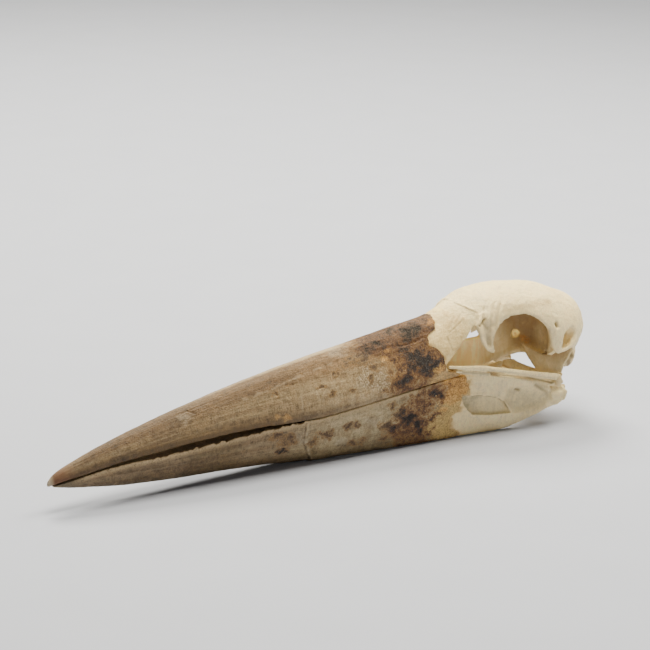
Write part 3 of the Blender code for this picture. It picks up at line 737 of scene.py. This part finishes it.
class Finish:
    """A material, the nodes that paint it and the colour that is laid on so far."""

    def __init__(self, name):
        self.material = bpy.data.materials.new(name)
        self.material.use_nodes = True
        self.tree = self.material.node_tree
        self.shader = self.tree.nodes["Principled BSDF"]
        coordinates = self.node("TexCoord", output="Object")
        self.place = self.node("VectorMath", {"operation": "SCALE"}, {0: coordinates, "Scale": 1000.0})
        self.coarse = self.noise(self.place, 0.3, 5, 0.62)
        self.medium = self.noise(self.place, 1.15, 5, 0.72)
        self.colour = None

    def node(self, kind, settings=None, inputs=None, output=0):
        """Adds a node: its settings first, then the values or links of its sockets."""
        made = self.tree.nodes.new("ShaderNode" + kind)
        for key, value in (settings or {}).items():
            setattr(made, key, value)
        for key, value in (inputs or {}).items():
            self.feed(made.inputs[key], value)
        return Value(self, made.outputs[output])

    def feed(self, socket, value):
        """Links or sets one socket."""
        if isinstance(value, Value):
            self.tree.links.new(value.socket, socket)
        else:
            socket.default_value = value

    def stored(self, name, output="Fac"):
        """A number or vector that the mesh stores."""
        return self.node("Attribute", {"attribute_name": name}, output=output)

    def axis(self, index):
        """The place along one axis, in millimetres."""
        return self.node("SeparateXYZ", {}, {0: self.place}, index)

    def scaled(self, vector, scale):
        """A vector stretched along its axes."""
        return self.node("Mapping", {"vector_type": "POINT"}, {"Vector": vector, "Scale": scale})

    def noise(self, vector, scale, detail, roughness, distortion=0):
        """Smooth noise, 0 to 1."""
        return self.node("TexNoise", {}, {"Vector": vector, "Scale": scale, "Detail": detail,
                                          "Roughness": roughness, "Distortion": distortion})

    def cells(self, vector, scale):
        """Distance to the nearest of scattered dots."""
        return self.node("TexVoronoi", {}, {"Vector": vector, "Scale": scale}, "Distance")

    def ease(self, value, low, high):
        """0 at low, 1 at high and smooth between."""
        return self.node("MapRange", {"interpolation_type": "SMOOTHSTEP"},
                         {"Value": value, "From Min": low, "From Max": high})

    def mix(self, share, first, second, kind="MIX"):
        """Blends two colours by a share."""
        colours = [colour if isinstance(colour, Value) else (*colour, 1) for colour in (first, second)]
        return self.node("Mix", {"data_type": "RGBA", "blend_type": kind},
                         {0: share, 6: colours[0], 7: colours[1]}, 2)

    def fine(self, first, second, low=0.4, high=0.6):
        """Two colours in fine patches."""
        return self.mix(self.ease(self.medium, low, high), first, second)

    def lay(self, share, colour, kind="MIX"):
        """Lays a colour over the colour so far, by a share."""
        self.colour = self.mix(share, self.colour, colour, kind)

    def patch(self, name, low, high, rough=1):
        """A stored mark with a soft edge, broken up by coarse and fine noise."""
        mark = self.stored(name)
        broken = mark + (self.coarse - 0.5) * (1.5 * rough) + (self.medium - 0.5) * (1.3 * rough)
        return self.ease(broken, low, high) * self.ease(mark, 0, 0.3)

    def finish(self, roughness, height, depth, specular=0.5):
        """Feeds the shader, with the relief as a height in thousandths."""
        self.feed(self.shader.inputs["Base Color"], self.colour)
        self.feed(self.shader.inputs["Roughness"], roughness)
        self.shader.inputs["Specular IOR Level"].default_value = specular
        relief = self.node("Bump", {}, {"Height": height, "Strength": 1, "Distance": depth})
        self.feed(self.shader.inputs["Normal"], relief)
        return self.material


def horn_finish():
    """Dry horn with long fibres, stained at its rear edge."""
    f = Finish("weathered_horn")
    fibre = f.stored("fibre", "Vector")
    bands = f.noise(f.scaled(fibre, (0.015, 0.35, 1)), 1, 4, 0.6)
    lines = f.noise(f.scaled(fibre, (0.11, 1.2, 1)), 1, 5, 0.7, 0.6)
    ticks = f.noise(f.scaled(fibre, (0.8, 0.25, 1)), 1, 4, 0.65, 0.5)
    cloud = f.noise(f.place, 0.09, 5, 0.65, 0.4)
    grit = f.noise(f.place, 2.2, 3, 0.6)
    lower = f.stored("lower")
    along, upward = f.axis(0), f.axis(2)

    # Clean horn, paler towards the head and darker towards the tip: partly the horn's own colour, partly
    # painted shade where less light reaches the tip
    banded = f.ease(bands, 0.35, 0.65)
    mottled = f.ease(f.coarse, 0.4, 0.6)
    tip_side = f.mix(banded, (0.17, 0.108, 0.056), (0.2, 0.143, 0.08))
    middle = f.mix(banded, (0.26, 0.172, 0.09), (0.27, 0.198, 0.11))
    upper_base = f.mix(mottled, (0.42, 0.29, 0.152), (0.4, 0.3, 0.172))
    lower_base = f.mix(mottled, (0.48, 0.375, 0.215), (0.42, 0.33, 0.19))
    f.colour = f.mix(f.ease(along + (cloud - 0.5) * 40, -115, -65), tip_side, middle)
    f.lay(f.ease(along + (cloud - 0.5) * 60, -55, 0), f.mix(lower, upper_base, lower_base))
    f.lay(f.ease(cloud, 0.48, 0.6) * 0.5, (0.25, 0.165, 0.08))
    f.lay(f.ease(f.coarse, 0.56, 0.7) * 0.5, (0.15, 0.1, 0.055))
    tone = 1 + (lines - 0.5) * 1.1 + (bands - 0.5) * 1 + (f.coarse - 0.5) * 1.7 + (f.medium - 0.5) * 1.8
    tone = tone + (ticks - 0.5) * 1 + (grit - 0.5) * 0.5 + f.ease(along, -150, -185) * 0.22
    f.lay(1, tone, "MULTIPLY")

    # Painted shades, a painted highlight along the ridge, scars and the pale fringe
    f.lay(f.stored("lip") * f.ease(bands + f.coarse, 0.75, 1.15) * 0.75, (0.26, 0.16, 0.06))
    dim = f.ease(along, -112, -98) * f.ease(along, -62, -76) * lower
    # The middle of the lower bill dimmed, then painted shade on the upper sides and the marked shade
    for share, shade in ((dim, (0.76, 0.74, 0.66)), (f.stored("shaded_shoulder"), (0.5, 0.39, 0.3)),
                         (f.stored("shade"), (0.5, 0.46, 0.4))):
        f.lay(share * 0.9, shade, "MULTIPLY")
    # Painted highlight: the top ridge laid paler
    f.lay(f.stored("culmen_highlight") * 0.8, (0.5, 0.39, 0.25))
    f.lay(f.stored("scar") * (0.35 + 0.35 * lower), (0.62, 0.49, 0.32))
    f.lay(f.stored("crack") * 0.85, (0.08, 0.05, 0.028))
    streaked = f.ease(lines + (f.medium - 0.5) * 0.6, 0.4, 0.6)
    golden = f.mix(streaked, (0.34, 0.19, 0.065), (0.74, 0.48, 0.19))
    f.lay(f.stored("fringe") * f.ease(f.medium, 0.34, 0.52) * 0.9, f.mix(lower, golden, (0.58, 0.42, 0.23)))
    f.lay(f.patch("white", 0.3, 1.3) * 0.3, (0.5, 0.43, 0.32))
    speckle = f.patch("speckle", 0.1, 0.8)
    f.lay(speckle * f.ease(f.medium, 0.54, 0.42) * 0.8, (0.17, 0.12, 0.07))
    f.lay(speckle * f.ease(f.medium, 0.5, 0.64) * 0.7, (0.66, 0.56, 0.42))

    # Ochre and amber stains
    rust = f.stored("rust") * (1 - 0.92 * f.stored("fringe"))
    ochre = f.fine((0.36, 0.18, 0.055), (0.6, 0.37, 0.14), 0.38, 0.62)
    f.lay(f.ease(f.stored("ochre") + (f.coarse - 0.5) * 1.5, 0.2, 0.9) * 0.6, ochre)
    seep = f.stored("seep")
    orange = f.fine((0.4, 0.17, 0.04), (0.8, 0.46, 0.13))
    straw = f.fine((0.4, 0.25, 0.09), (0.76, 0.53, 0.2), 0.38, 0.58)
    amber = f.mix(f.ease(upward + (f.coarse - 0.5) * 16, 30, 20), orange, straw)
    f.lay(f.ease(seep + (f.coarse - 0.5) * 1.4, 0.15, 0.85) * 0.9, amber)
    f.lay(seep * f.ease(f.coarse, 0.5, 0.62) * 0.6, (0.24, 0.11, 0.035))

    # Charred stains, from tan through brown to blue-black
    black = f.stored("black")
    brown = f.stored("brown")
    swirl = f.noise(f.place, 0.17, 6, 0.68, 1)
    curl = f.noise(f.place, 0.42, 5, 0.7, 2.2)
    uneven = (swirl - 0.5) * 1.2 + (f.coarse - 0.5) * 0.8 + (curl - 0.5) * 1.4 + (f.medium - 0.5) * 0.9
    char = rust * (0.36 - 0.27 * seep) + black * (0.8 - 0.4 * rust) + brown * (0.48 - 0.08 * rust)
    char = char + uneven * f.ease(rust + black + brown, 0, 0.3)
    tan = f.fine((0.2, 0.098, 0.034), (0.4, 0.225, 0.076))
    f.lay(f.ease(char, 0.06, 0.24) * 0.8, f.mix(seep, tan, amber))
    f.lay(f.ease(char, 0.24, 0.4) * 0.9, f.mix(rust, (0.17, 0.115, 0.06), (0.18, 0.082, 0.032)))
    f.lay(f.ease(char, 0.42, 0.56) * 0.9, (0.07, 0.036, 0.02))
    glint = f.ease(curl + (grit - 0.5) * 0.5, 0.5, 0.68)
    ink = f.ease(char, 0.56, 0.74) * f.ease(black + rust, 0.15, 0.5)
    f.lay(ink * 0.95, f.mix(glint, (0.016, 0.013, 0.012), (0.115, 0.1, 0.098)))
    f.lay(f.patch("bright", 0.2, 0.8, 0.8) * 0.85, f.fine((0.42, 0.2, 0.06), (0.82, 0.5, 0.16), 0.38, 0.6))
    # Painted shade: the stained upper sides darkened further
    f.lay(f.stored("shaded_shoulder") * rust * 0.95, (0.45, 0.35, 0.22), "MULTIPLY")

    # The tip and the pits
    f.lay(f.stored("tip") * 0.75, f.mix(lower, (0.16, 0.065, 0.03), (0.05, 0.042, 0.026)))
    f.lay(f.stored("point") * 0.8, (0.55, 0.45, 0.32))
    pits = f.ease(f.cells(f.place, 0.5), 0.16, 0.05) * f.ease(f.coarse, 0.47, 0.58)
    f.lay(pits * 0.8, (0.07, 0.043, 0.024))

    height = 0.35 * lines + 0.8 * f.medium + 0.3 * grit + 0.3 * ticks - 0.6 * pits - 0.3 * ink
    height = height + (curl - 0.5) * f.ease(char, 0.1, 0.5)
    return f.finish(0.42 + 0.3 * f.medium + 0.2 * ink, height, 0.0006, 0.4)


def bone_finish():
    """Clean dry bone, yellower where it is thin and where the horn has seeped into it."""
    f = Finish("dry_bone")
    cloud = f.noise(f.place, 0.05, 3, 0.55)
    pore = f.noise(f.place, 2.4, 4, 0.6)
    patches = f.noise(f.place, 0.13, 4, 0.6, 0.8)
    scratch = f.noise(f.scaled(f.place, (0.9, 0.9, 0.14)), 1, 4, 0.65, 0.6)
    streaks = f.noise(f.scaled(f.place, (0.3, 0.3, 0.07)), 1, 4, 0.6)
    along, upward = f.axis(0), f.axis(2)
    thin = f.stored("thin")
    lit_window = f.stored("lit_window")

    # Clean bone
    f.colour = f.mix(f.ease(cloud, 0.35, 0.65), (1, 0.83, 0.47), (0.98, 0.785, 0.43))
    f.lay(f.ease(f.coarse, 0.5, 0.64) * 0.4, (0.8, 0.6, 0.33))
    f.lay(f.ease(patches, 0.5, 0.62) * 0.4, (0.78, 0.63, 0.4))
    f.lay(1, 1 + (f.medium - 0.5) * 0.5 + (f.coarse - 0.5) * 0.7 + (scratch - 0.5) * 0.5, "MULTIPLY")

    # The thin plate between the sockets, its window painted as a bright spot of light shining through, its
    # top edge with a painted highlight, and the brown lining behind, which deepens into painted shade at the
    # upper rear
    f.lay(thin * 0.85, f.mix(f.ease(streaks, 0.38, 0.62), (0.82, 0.61, 0.27), (1, 0.84, 0.5)))
    # The lining darkens towards the upper rear of the socket: partly the bone's own brown, partly painted
    # shade deep in the socket
    deep = f.ease(along + upward * 0.7 + (cloud - 0.5) * 20, 158, 184)
    f.lay(f.stored("socket") * 0.85, f.mix(deep, (0.88, 0.67, 0.33), (0.28, 0.15, 0.045)))
    # Painted highlight along the plate's top edge
    f.lay(f.stored("edge") * 0.85, (0.95, 0.76, 0.25))
    # Painted light: the window laid bright cream where light shines through it
    f.lay(lit_window, (0.75, 0.56, 0.22))
    f.lay(f.stored("scrap") * f.ease(f.medium, 0.4, 0.56), (0.62, 0.3, 0.08))

    # What the horn has stained, then dark suture lines with painted shade along valleys and creases, and
    # painted shade in recesses, clefts, holes and gaps
    seep = f.stored("seep") + (f.coarse - 0.5) * 1.1
    f.lay(f.ease(seep, 0, 0.7) * 0.75, (0.86, 0.63, 0.27))
    f.lay(f.ease(seep, 0.35, 0.95) * 0.8, f.fine((0.4, 0.21, 0.06), (0.62, 0.4, 0.15)))
    f.lay(f.stored("seam") * 0.6, (0.66, 0.4, 0.17))
    # Dark suture lines, and painted shade along the brow valleys and nasal creases
    f.lay(f.stored("line") * 0.7, (0.38, 0.26, 0.14))
    # Painted shade in recesses, hollows and valleys
    f.lay(f.stored("recess_shade") * f.ease(f.coarse, 0.25, 0.62) * 0.85, (0.38, 0.33, 0.2))
    # Painted shade in clefts, slits, holes, gaps and creases
    f.lay(f.stored("crevice_shade") * 0.88, (0.2, 0.132, 0.066))
    freckles = f.ease(f.cells(f.place, 0.28), 0.1, 0.03)
    f.lay(freckles * 0.3, (0.4, 0.28, 0.14))

    # Light that comes through the thin plate and its window
    beam = f.ease(along, 97, 103) * f.ease(along, 114, 107) * f.ease(upward, 62, 55)
    glow = f.mix(thin * (f.ease(along, 130, 95) * 0.95 + beam * 0.8), (0, 0, 0), (0.2, 0.135, 0.05))
    shining = f.mix(f.ease(f.coarse, 0.42, 0.56), (0.18, 0.11, 0.024), (0.56, 0.4, 0.12))
    f.shader.inputs["Emission Strength"].default_value = 1.0
    f.feed(f.shader.inputs["Emission Color"], f.mix(lit_window, glow, shining))

    height = 1.1 * f.coarse + 0.4 * f.medium + 0.15 * pore - 0.3 * freckles + 0.3 * scratch
    return f.finish(0.45 + 0.2 * f.medium, height, 0.0008)


def floor_finish():
    """Plain pale floor."""
    f = Finish("pale_floor")
    grain = f.noise(f.place, 0.02, 4.0, 0.5)
    f.colour = f.mix(grain, (0.41, 0.44, 0.56), (0.44, 0.47, 0.6))
    return f.finish(0.8 + 0.1 * grain, grain, 0.0002, 0.1)


# Assembly: edges where the pieces part, bars of (x, y, z, half width, half height) and lumps

HINGE_HALF = [(101.6, -40), (101, -24), (97.4, -18), (93.8, -12), (91.2, -5)]
HINGE = [*HINGE_HALF, (90.4, 0), *[(x, -y) for x, y in reversed(HINGE_HALF)]]
LACRIMAL_EDGE = [
    (112, 50), (90, 50), (91, 68), (93.95, 71.5), (96.6, 75), (97, 76), (102, 76.4), (111, 74.8),
    (114, 72), (112, 64)]
BROW_ROOT = [
    (97, -20, 77.4, 0.6, 0.8), (100, -20.7, 76.9, 1, 1.7), (105, -21.9, 76.2, 1.1, 2),
    (110.5, -22.9, 75, 1.1, 2), (114.5, -23.5, 73.9, 0.9, 1.3), (118, -24.1, 73.6, 0.5, 0.6)]
BROW_FILL = [
    (98, -21.4, 74.6, 0.6, 1.2), (100.5, -22.1, 74, 0.9, 2), (105, -22.9, 73.2, 1, 2.4),
    (109.5, -23.5, 72.4, 0.9, 2.2), (112.5, -24, 71.8, 0.6, 1.2)]
BROW_JOIN = [
    (97.5, -20.6, 78.2), (101, -21.6, 78.2), (105, -22.5, 78), (110.5, -23.6, 78), (115, -24, 76.5)]
BROW_FOOT = [(99, -21.6, 75.4), (105, -22.9, 74.4), (112, -23.8, 73.6)]
NASAL_REAR = (
    [(94.5, -18.5, 74), (92.5, -18.5, 66)], [(97.5, -19.8, 72.5), (95.5, -19.5, 67.5)],
    [(99.3, -21, 70.6), (98.6, -20.8, 69)])
SKULL_LOBES = (
    ((167.6, -21.8, 36.9), (2.8, 2.4, 3.2)), ((171.4, -21.6, 40.4), (2.8, 2.6, 3.8)),
    ((164.6, -22.4, 36.2), (1.8, 1.8, 2.2)))
SEPTUM_SCRAPS = (
    ((140.5, 0.6, 54.4), (3.8, 0.7, 3)), ((144.9, -3, 51.6), (1.3, 1.2, 1)),
    ((146.9, -4.7, 50.2), (1, 1.4, 0.8)))
JAW_TOP = [
    (128, -26.6, 31.5, 0.6, 0.8), (137, -27.2, 29.6, 1.1, 1.5), (146, -27.8, 28.2, 1.4, 1.8),
    (152, -28, 26.2, 1.6, 1.8), (156, -28.2, 24.2, 1, 1.1)]
JAW_KNOBS = (
    ((156.4, -28.6, 22.6), (2.2, 2.2, 1.6)), ((158.2, -28.6, 19), (2.4, 2.4, 2.8)),
    ((154.3, -27.6, 13.9), (3.2, 1.6, 1.9)), ((149.5, -28.8, 27.2), (3.4, 1.5, 1.3)),
    ((158.4, -30.4, 20.4), (1.5, 1.6, 1.4)), ((157.8, -29.6, 16.4), (1.8, 1.8, 1.4)))
JUGAL_SPLINT = [
    (79, -23, 44.8, 0.5, 0.6), (86, -23.8, 43.6, 1, 1.6), (94, -24.8, 41.9, 1, 1.9),
    (100, -25.6, 40.6, 1, 1.7), (103, -26, 40, 0.5, 0.7)]
JUGAL = [
    (74, -22, 48.3, 0.9, 0.9), (84, -23.8, 46.8, 1, 1.1), (93, -25.4, 45.7, 1.1, 1.3),
    (99, -26.6, 44.6, 1.4, 1.7), (104, -27.2, 43.4, 1.3, 1.5), (116, -28.3, 40.4, 1.2, 1.6),
    (131, -29.2, 36.5, 1.2, 1.8), (144, -30, 33.2, 1.3, 2.1), (150, -30.4, 31.7, 1.4, 2.3),
    (154, -30.2, 30.6, 1.2, 2.2), (155.5, -30, 30.3, 0.5, 0.9)]
JUGAL_GROOVE = [(102.4, -28, 43), (118.4, -29.1, 39), (133.3, -30.1, 35), (149.3, -31.4, 30.8)]
JUGAL_SEAM = [(83.2, -24.3, 44), (92.2, -25.6, 42.5), (101.6, -26.5, 40.8)]
QUADRATE_WING = (
    [(137, -12, 51.6), (139.2, -13.8, 46), (141, -16, 40.5), (145.8, -19, 33.1)],
    [(141, -15.6, 48.4), (143.2, -17.6, 43.4), (145.5, -19.4, 38.5), (148.4, -21.6, 31.5)],
    [(147.6, -20.2, 44.2), (149, -21.8, 40.6), (150, -22.8, 36.6), (151.4, -23.8, 30.5)],
    [(157.8, -22.4, 45.4), (157, -23.4, 41.2), (155, -24.6, 37), (153.6, -26, 30)],
    [(165.6, -25.6, 46.4), (163.2, -25.8, 41.9), (158.4, -26.4, 37), (155.8, -26.8, 30)])
QUADRATE_RIDGE = [(167, -25.2, 46), (163.4, -26.2, 41.9), (158.8, -26.8, 37), (156.4, -27, 31)]
QUADRATE_KNOBS = (
    ((154.4, -26, 29.4), (3.4, 4, 4.2)), ((153.2, -30.4, 29.4), (2.4, 1.9, 2.8)),
    ((153, -30.6, 26.6), (2, 1.7, 1.7)), ((154.2, -25, 26.6), (2.4, 3.2, 1.9)),
    ((155.2, -19.8, 27.2), (2.8, 2.7, 2.5)), ((149.6, -20.4, 30.2), (3.2, 3, 2.6)),
    ((155.9, -29.8, 27.4), (1.2, 1.6, 1.5)), ((155.6, -29.6, 32.2), (1.1, 1.5, 1.2)))
BROW_CORNER = ((111.5, -24, 72.8), (2.6, 1, 2.2))
TEMPLE_POCKET = ((158.9, -27.4, 55.4), (6.5, 6.4, 6.4), 22)
EAR_POCKET = ((147.9, -26, 48.4), (2.8, 4, 4.2))


def finished(obj, name, material, slot, *nodes):
    """Turns a piece into metres, dresses it and sets it in the frame."""
    obj.name = name
    obj.data.name = name
    obj.data.transform(Matrix.Scale(MILLIMETRE, 4))
    obj.data.materials.clear()
    obj.data.materials.append(material)
    obj.data.shade_smooth()
    obj.data.set_sharp_from_angle(angle=math.radians(50))
    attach(obj, "root")
    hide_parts(*nodes)


def build_upper(horn, bone):
    """Upper sheath, nasal bones, braincase and lacrimals out of one surface."""
    nodes = ["upper_bill", "nasal_bones", "cranium", "lacrimal_left", "lacrimal_right"]
    extras = both(bar(BROW_ROOT), bar(BROW_FILL), sheet(NASAL_REAR, (0.9, 0.9, 0.8)), ball(*BROW_CORNER),
                  *beads(LACRIMAL_RIB, 0.9), *balls(SKULL_LOBES))
    whole = blended(nodes, BONE_GRAIN, 4, extras=extras + balls(SEPTUM_SCRAPS))
    biggest(whole)
    melt(whole, stroke(points_of(whole)[0], BROW_JOIN, 3.6), 90)
    melt(whole, stroke(points_of(whole)[0], BROW_FOOT, 2.4), 30)
    sheath = copy_of(whole)
    behind = curtain(ragged(UPPER_BORDER))
    carve(sheath, behind)
    biggest(sheath)
    modify(sheath, "DECIMATE", ratio=SHEATH_SHARE)
    dress_horn(sheath, upper=True)
    front = block(FAR_FRONT, UPPER_FRONT, DEEP, TALL, BROAD)
    carve(whole, front)
    for pocket in both(ball(*TEMPLE_POCKET), ball(*EAR_POCKET)):
        carve(whole, pocket)
        discard(pocket)
    shrink_under(whole, UPPER_BORDER, UPPER_SHEATH)
    dress_bone(whole)
    before = prism(wandering(HINGE, 0.9, 1.1) + [(40, 40), (40, -40)], 46, TALL, "Z")
    plate = block(78, 130, 40, 61, 4)
    carve(before, plate)
    parts = {}
    for side, low, high in (("left", -BROAD, -16), ("right", 16, BROAD)):
        zone = prism(LACRIMAL_EDGE, low, high)
        parts["lacrimal_" + side] = copy_of(whole)
        carve(parts["lacrimal_" + side], zone, "INTERSECT")
        carve(whole, zone)
        discard(zone)
    parts["nasal_bones"] = copy_of(whole)
    carve(parts["nasal_bones"], before, "INTERSECT")
    carve(whole, before)
    parts["cranium"] = whole
    discard(behind, front, before, plate)
    finished(sheath, "upper_horn", horn, "horn", "upper_bill")
    for node, obj in parts.items():
        biggest(obj)
        finished(obj, node + "_bone", bone, "bone", node)


def build_lower(horn, bone):
    """Lower sheath out of one surface, and the two bare ends of the jaw under its edge."""
    branches = ["lower_bill_left", "lower_bill_right", "mandible_left", "mandible_right"]
    sheath = blended(["lower_bill"] + branches, HORN_GRAIN, 3)
    behind = curtain(ragged(LOWER_BORDER))
    carve(sheath, behind)
    biggest(sheath)
    dress_horn(sheath, upper=False)
    whole = blended(branches, JAW_GRAIN, 4, extras=both(bar(JAW_TOP), *balls(JAW_KNOBS)))
    front = block(FAR_FRONT, LOWER_FRONT, DEEP, TALL, BROAD)
    carve(whole, front)
    shrink_under(whole, LOWER_BORDER, LOWER_SHEATH)
    dress_bone(whole, jaw=True)
    for side, sign in (("left", -1), ("right", 1)):
        branch = one_side(whole, sign)
        biggest(branch)
        finished(branch, "mandible_" + side + "_bone", bone, "bone", "mandible_" + side)
    discard(behind, front, whole)
    finished(sheath, "lower_horn", horn, "horn", "lower_bill", "lower_bill_left", "lower_bill_right")


def small_shapes(kind):
    """The left cheek bar of two strands, or the left quadrate: a curved wing and its hinge knobs."""
    if kind == "jugal":
        return [bar(JUGAL), bar(JUGAL_SPLINT)]
    if kind == "quadrate":
        wing = sheet(QUADRATE_WING, (1.4, 1.8, 2.6, 3.2, 1.8))
        return [wing, *balls(QUADRATE_KNOBS), *beads(QUADRATE_RIDGE, 1.2)]
    return []


def build_small(bone):
    """Cheek bars, quadrates and the bones of the palate."""
    for kind in ("jugal", "quadrate", "pterygoid", "palatine"):
        for side in ("left", "right"):
            node = kind + "_" + side
            shapes = small_shapes(kind)
            if side == "right":
                twins = [mirrored(shape) for shape in shapes]
                discard(*shapes)
                shapes = twins
            passes = 9 if kind == "quadrate" else 3
            obj = blended([] if shapes else [node], FINE_GRAIN, passes, FINE_GROWTH, shapes)
            places, normals = points_of(obj)
            x, z = places[:, 0], places[:, 2]
            lift = 0.1 * ripple(places, 0.25, 31) + 0.05 * ripple(places, 0.9, 32)
            if kind == "jugal":
                groove = stroke(places, JUGAL_GROOVE, 0.6)
                seam = np.interp(x, *zip(*[(sx, sz) for sx, sy, sz in JUGAL_SEAM]))
                # Painted shade on the splint below the seam, and in the seam and the groove
                paint(obj, "recess_shade", 0.6 * ease(0.4, -0.4, z - seam) * ease(104, 101, x))
                paint(obj, "crevice_shade", np.maximum(0.5 * stroke(places, JUGAL_SEAM, 0.7), 0.35 * groove))
                lift -= 0.5 * stroke(places, JUGAL_GROOVE, 0.5)
            if kind == "quadrate":
                # Painted shade: the quadrate darker up under the skull, with a painted highlight along its
                # ridge
                brown = 0.6 + 0.4 * ease(37, 44, z + 1.5 * ripple(places, 0.2, 33))
                paint(obj, "socket", brown * (1 - 0.8 * stroke(places, QUADRATE_RIDGE, 1.6)))
            place_points(obj, places + normals * lift[:, None])
            finished(obj, node + "_bone", bone, "bone", node)


# Studio, in metres and watts

WARM, SKY = (1.0, 0.93, 0.72), (1.0, 0.94, 0.84, 1.0)
SKY_STRENGTH = 0.06
LIGHTS = (("key", (0.05, 0, 1.5), (0.05, 0, 0), (0.7, 0.7), 30.0),
          ("back", (0.3, 1.2, 1.6), (0.1, 0.3, 0), (0.9, 0.9), 88.0),
          ("rear", (1.0, 0, 1.25), (0.05, 0, 0.05), (0.7, 0.7), 27.0),
          ("front", (-0.2, -1.5, 0.7), (0.05, 0, 0.04), (1.2, 0.8), 2.8))
CAMERA_PLACE = (-0.7685, -1.179, 0.4851)
CAMERA_TURN, CAMERA_DIP = 0.576375, math.radians(16)
LENS, SENSOR = 135.0, 36.0


def area_light(name, place, target, size, power):
    """A soft rectangular light aimed at a point."""
    lamp = bpy.data.lights.new(name, "AREA")
    lamp.shape = "RECTANGLE"
    lamp.size, lamp.size_y = size
    lamp.energy = power
    lamp.color = WARM
    obj = linked(name, lamp)
    obj.location = place
    obj.rotation_euler = (Vector(target) - Vector(place)).to_track_quat("-Z", "Y").to_euler()


def build_studio():
    """Floor, soft lights and the camera."""
    bm = bmesh.new()
    bmesh.ops.create_grid(bm, x_segments=4, y_segments=4, size=8.0)
    floor = new_object(bm, "floor")
    floor.data.materials.append(floor_finish())
    for row in LIGHTS:
        area_light(*row)
    world = bpy.data.worlds.new("studio")
    world.use_nodes = True
    background = world.node_tree.nodes["Background"].inputs
    background["Color"].default_value = SKY
    background["Strength"].default_value = SKY_STRENGTH
    bpy.context.scene.world = world

    flat = math.cos(CAMERA_DIP)
    ahead = Vector((math.sin(CAMERA_TURN) * flat, math.cos(CAMERA_TURN) * flat, -math.sin(CAMERA_DIP)))
    right = Vector((math.cos(CAMERA_TURN), -math.sin(CAMERA_TURN), 0))
    up = right.cross(ahead)
    lens = bpy.data.cameras.new("camera")
    lens.lens, lens.sensor_width = LENS, SENSOR
    camera = linked("camera", lens)
    axes = Matrix((right, up, -ahead)).transposed().to_4x4()
    camera.matrix_world = Matrix.Translation(CAMERA_PLACE) @ axes
    bpy.context.scene.camera = camera


horn, bone = horn_finish(), bone_finish()
build_upper(horn, bone)
build_lower(horn, bone)
build_small(bone)
build_studio()
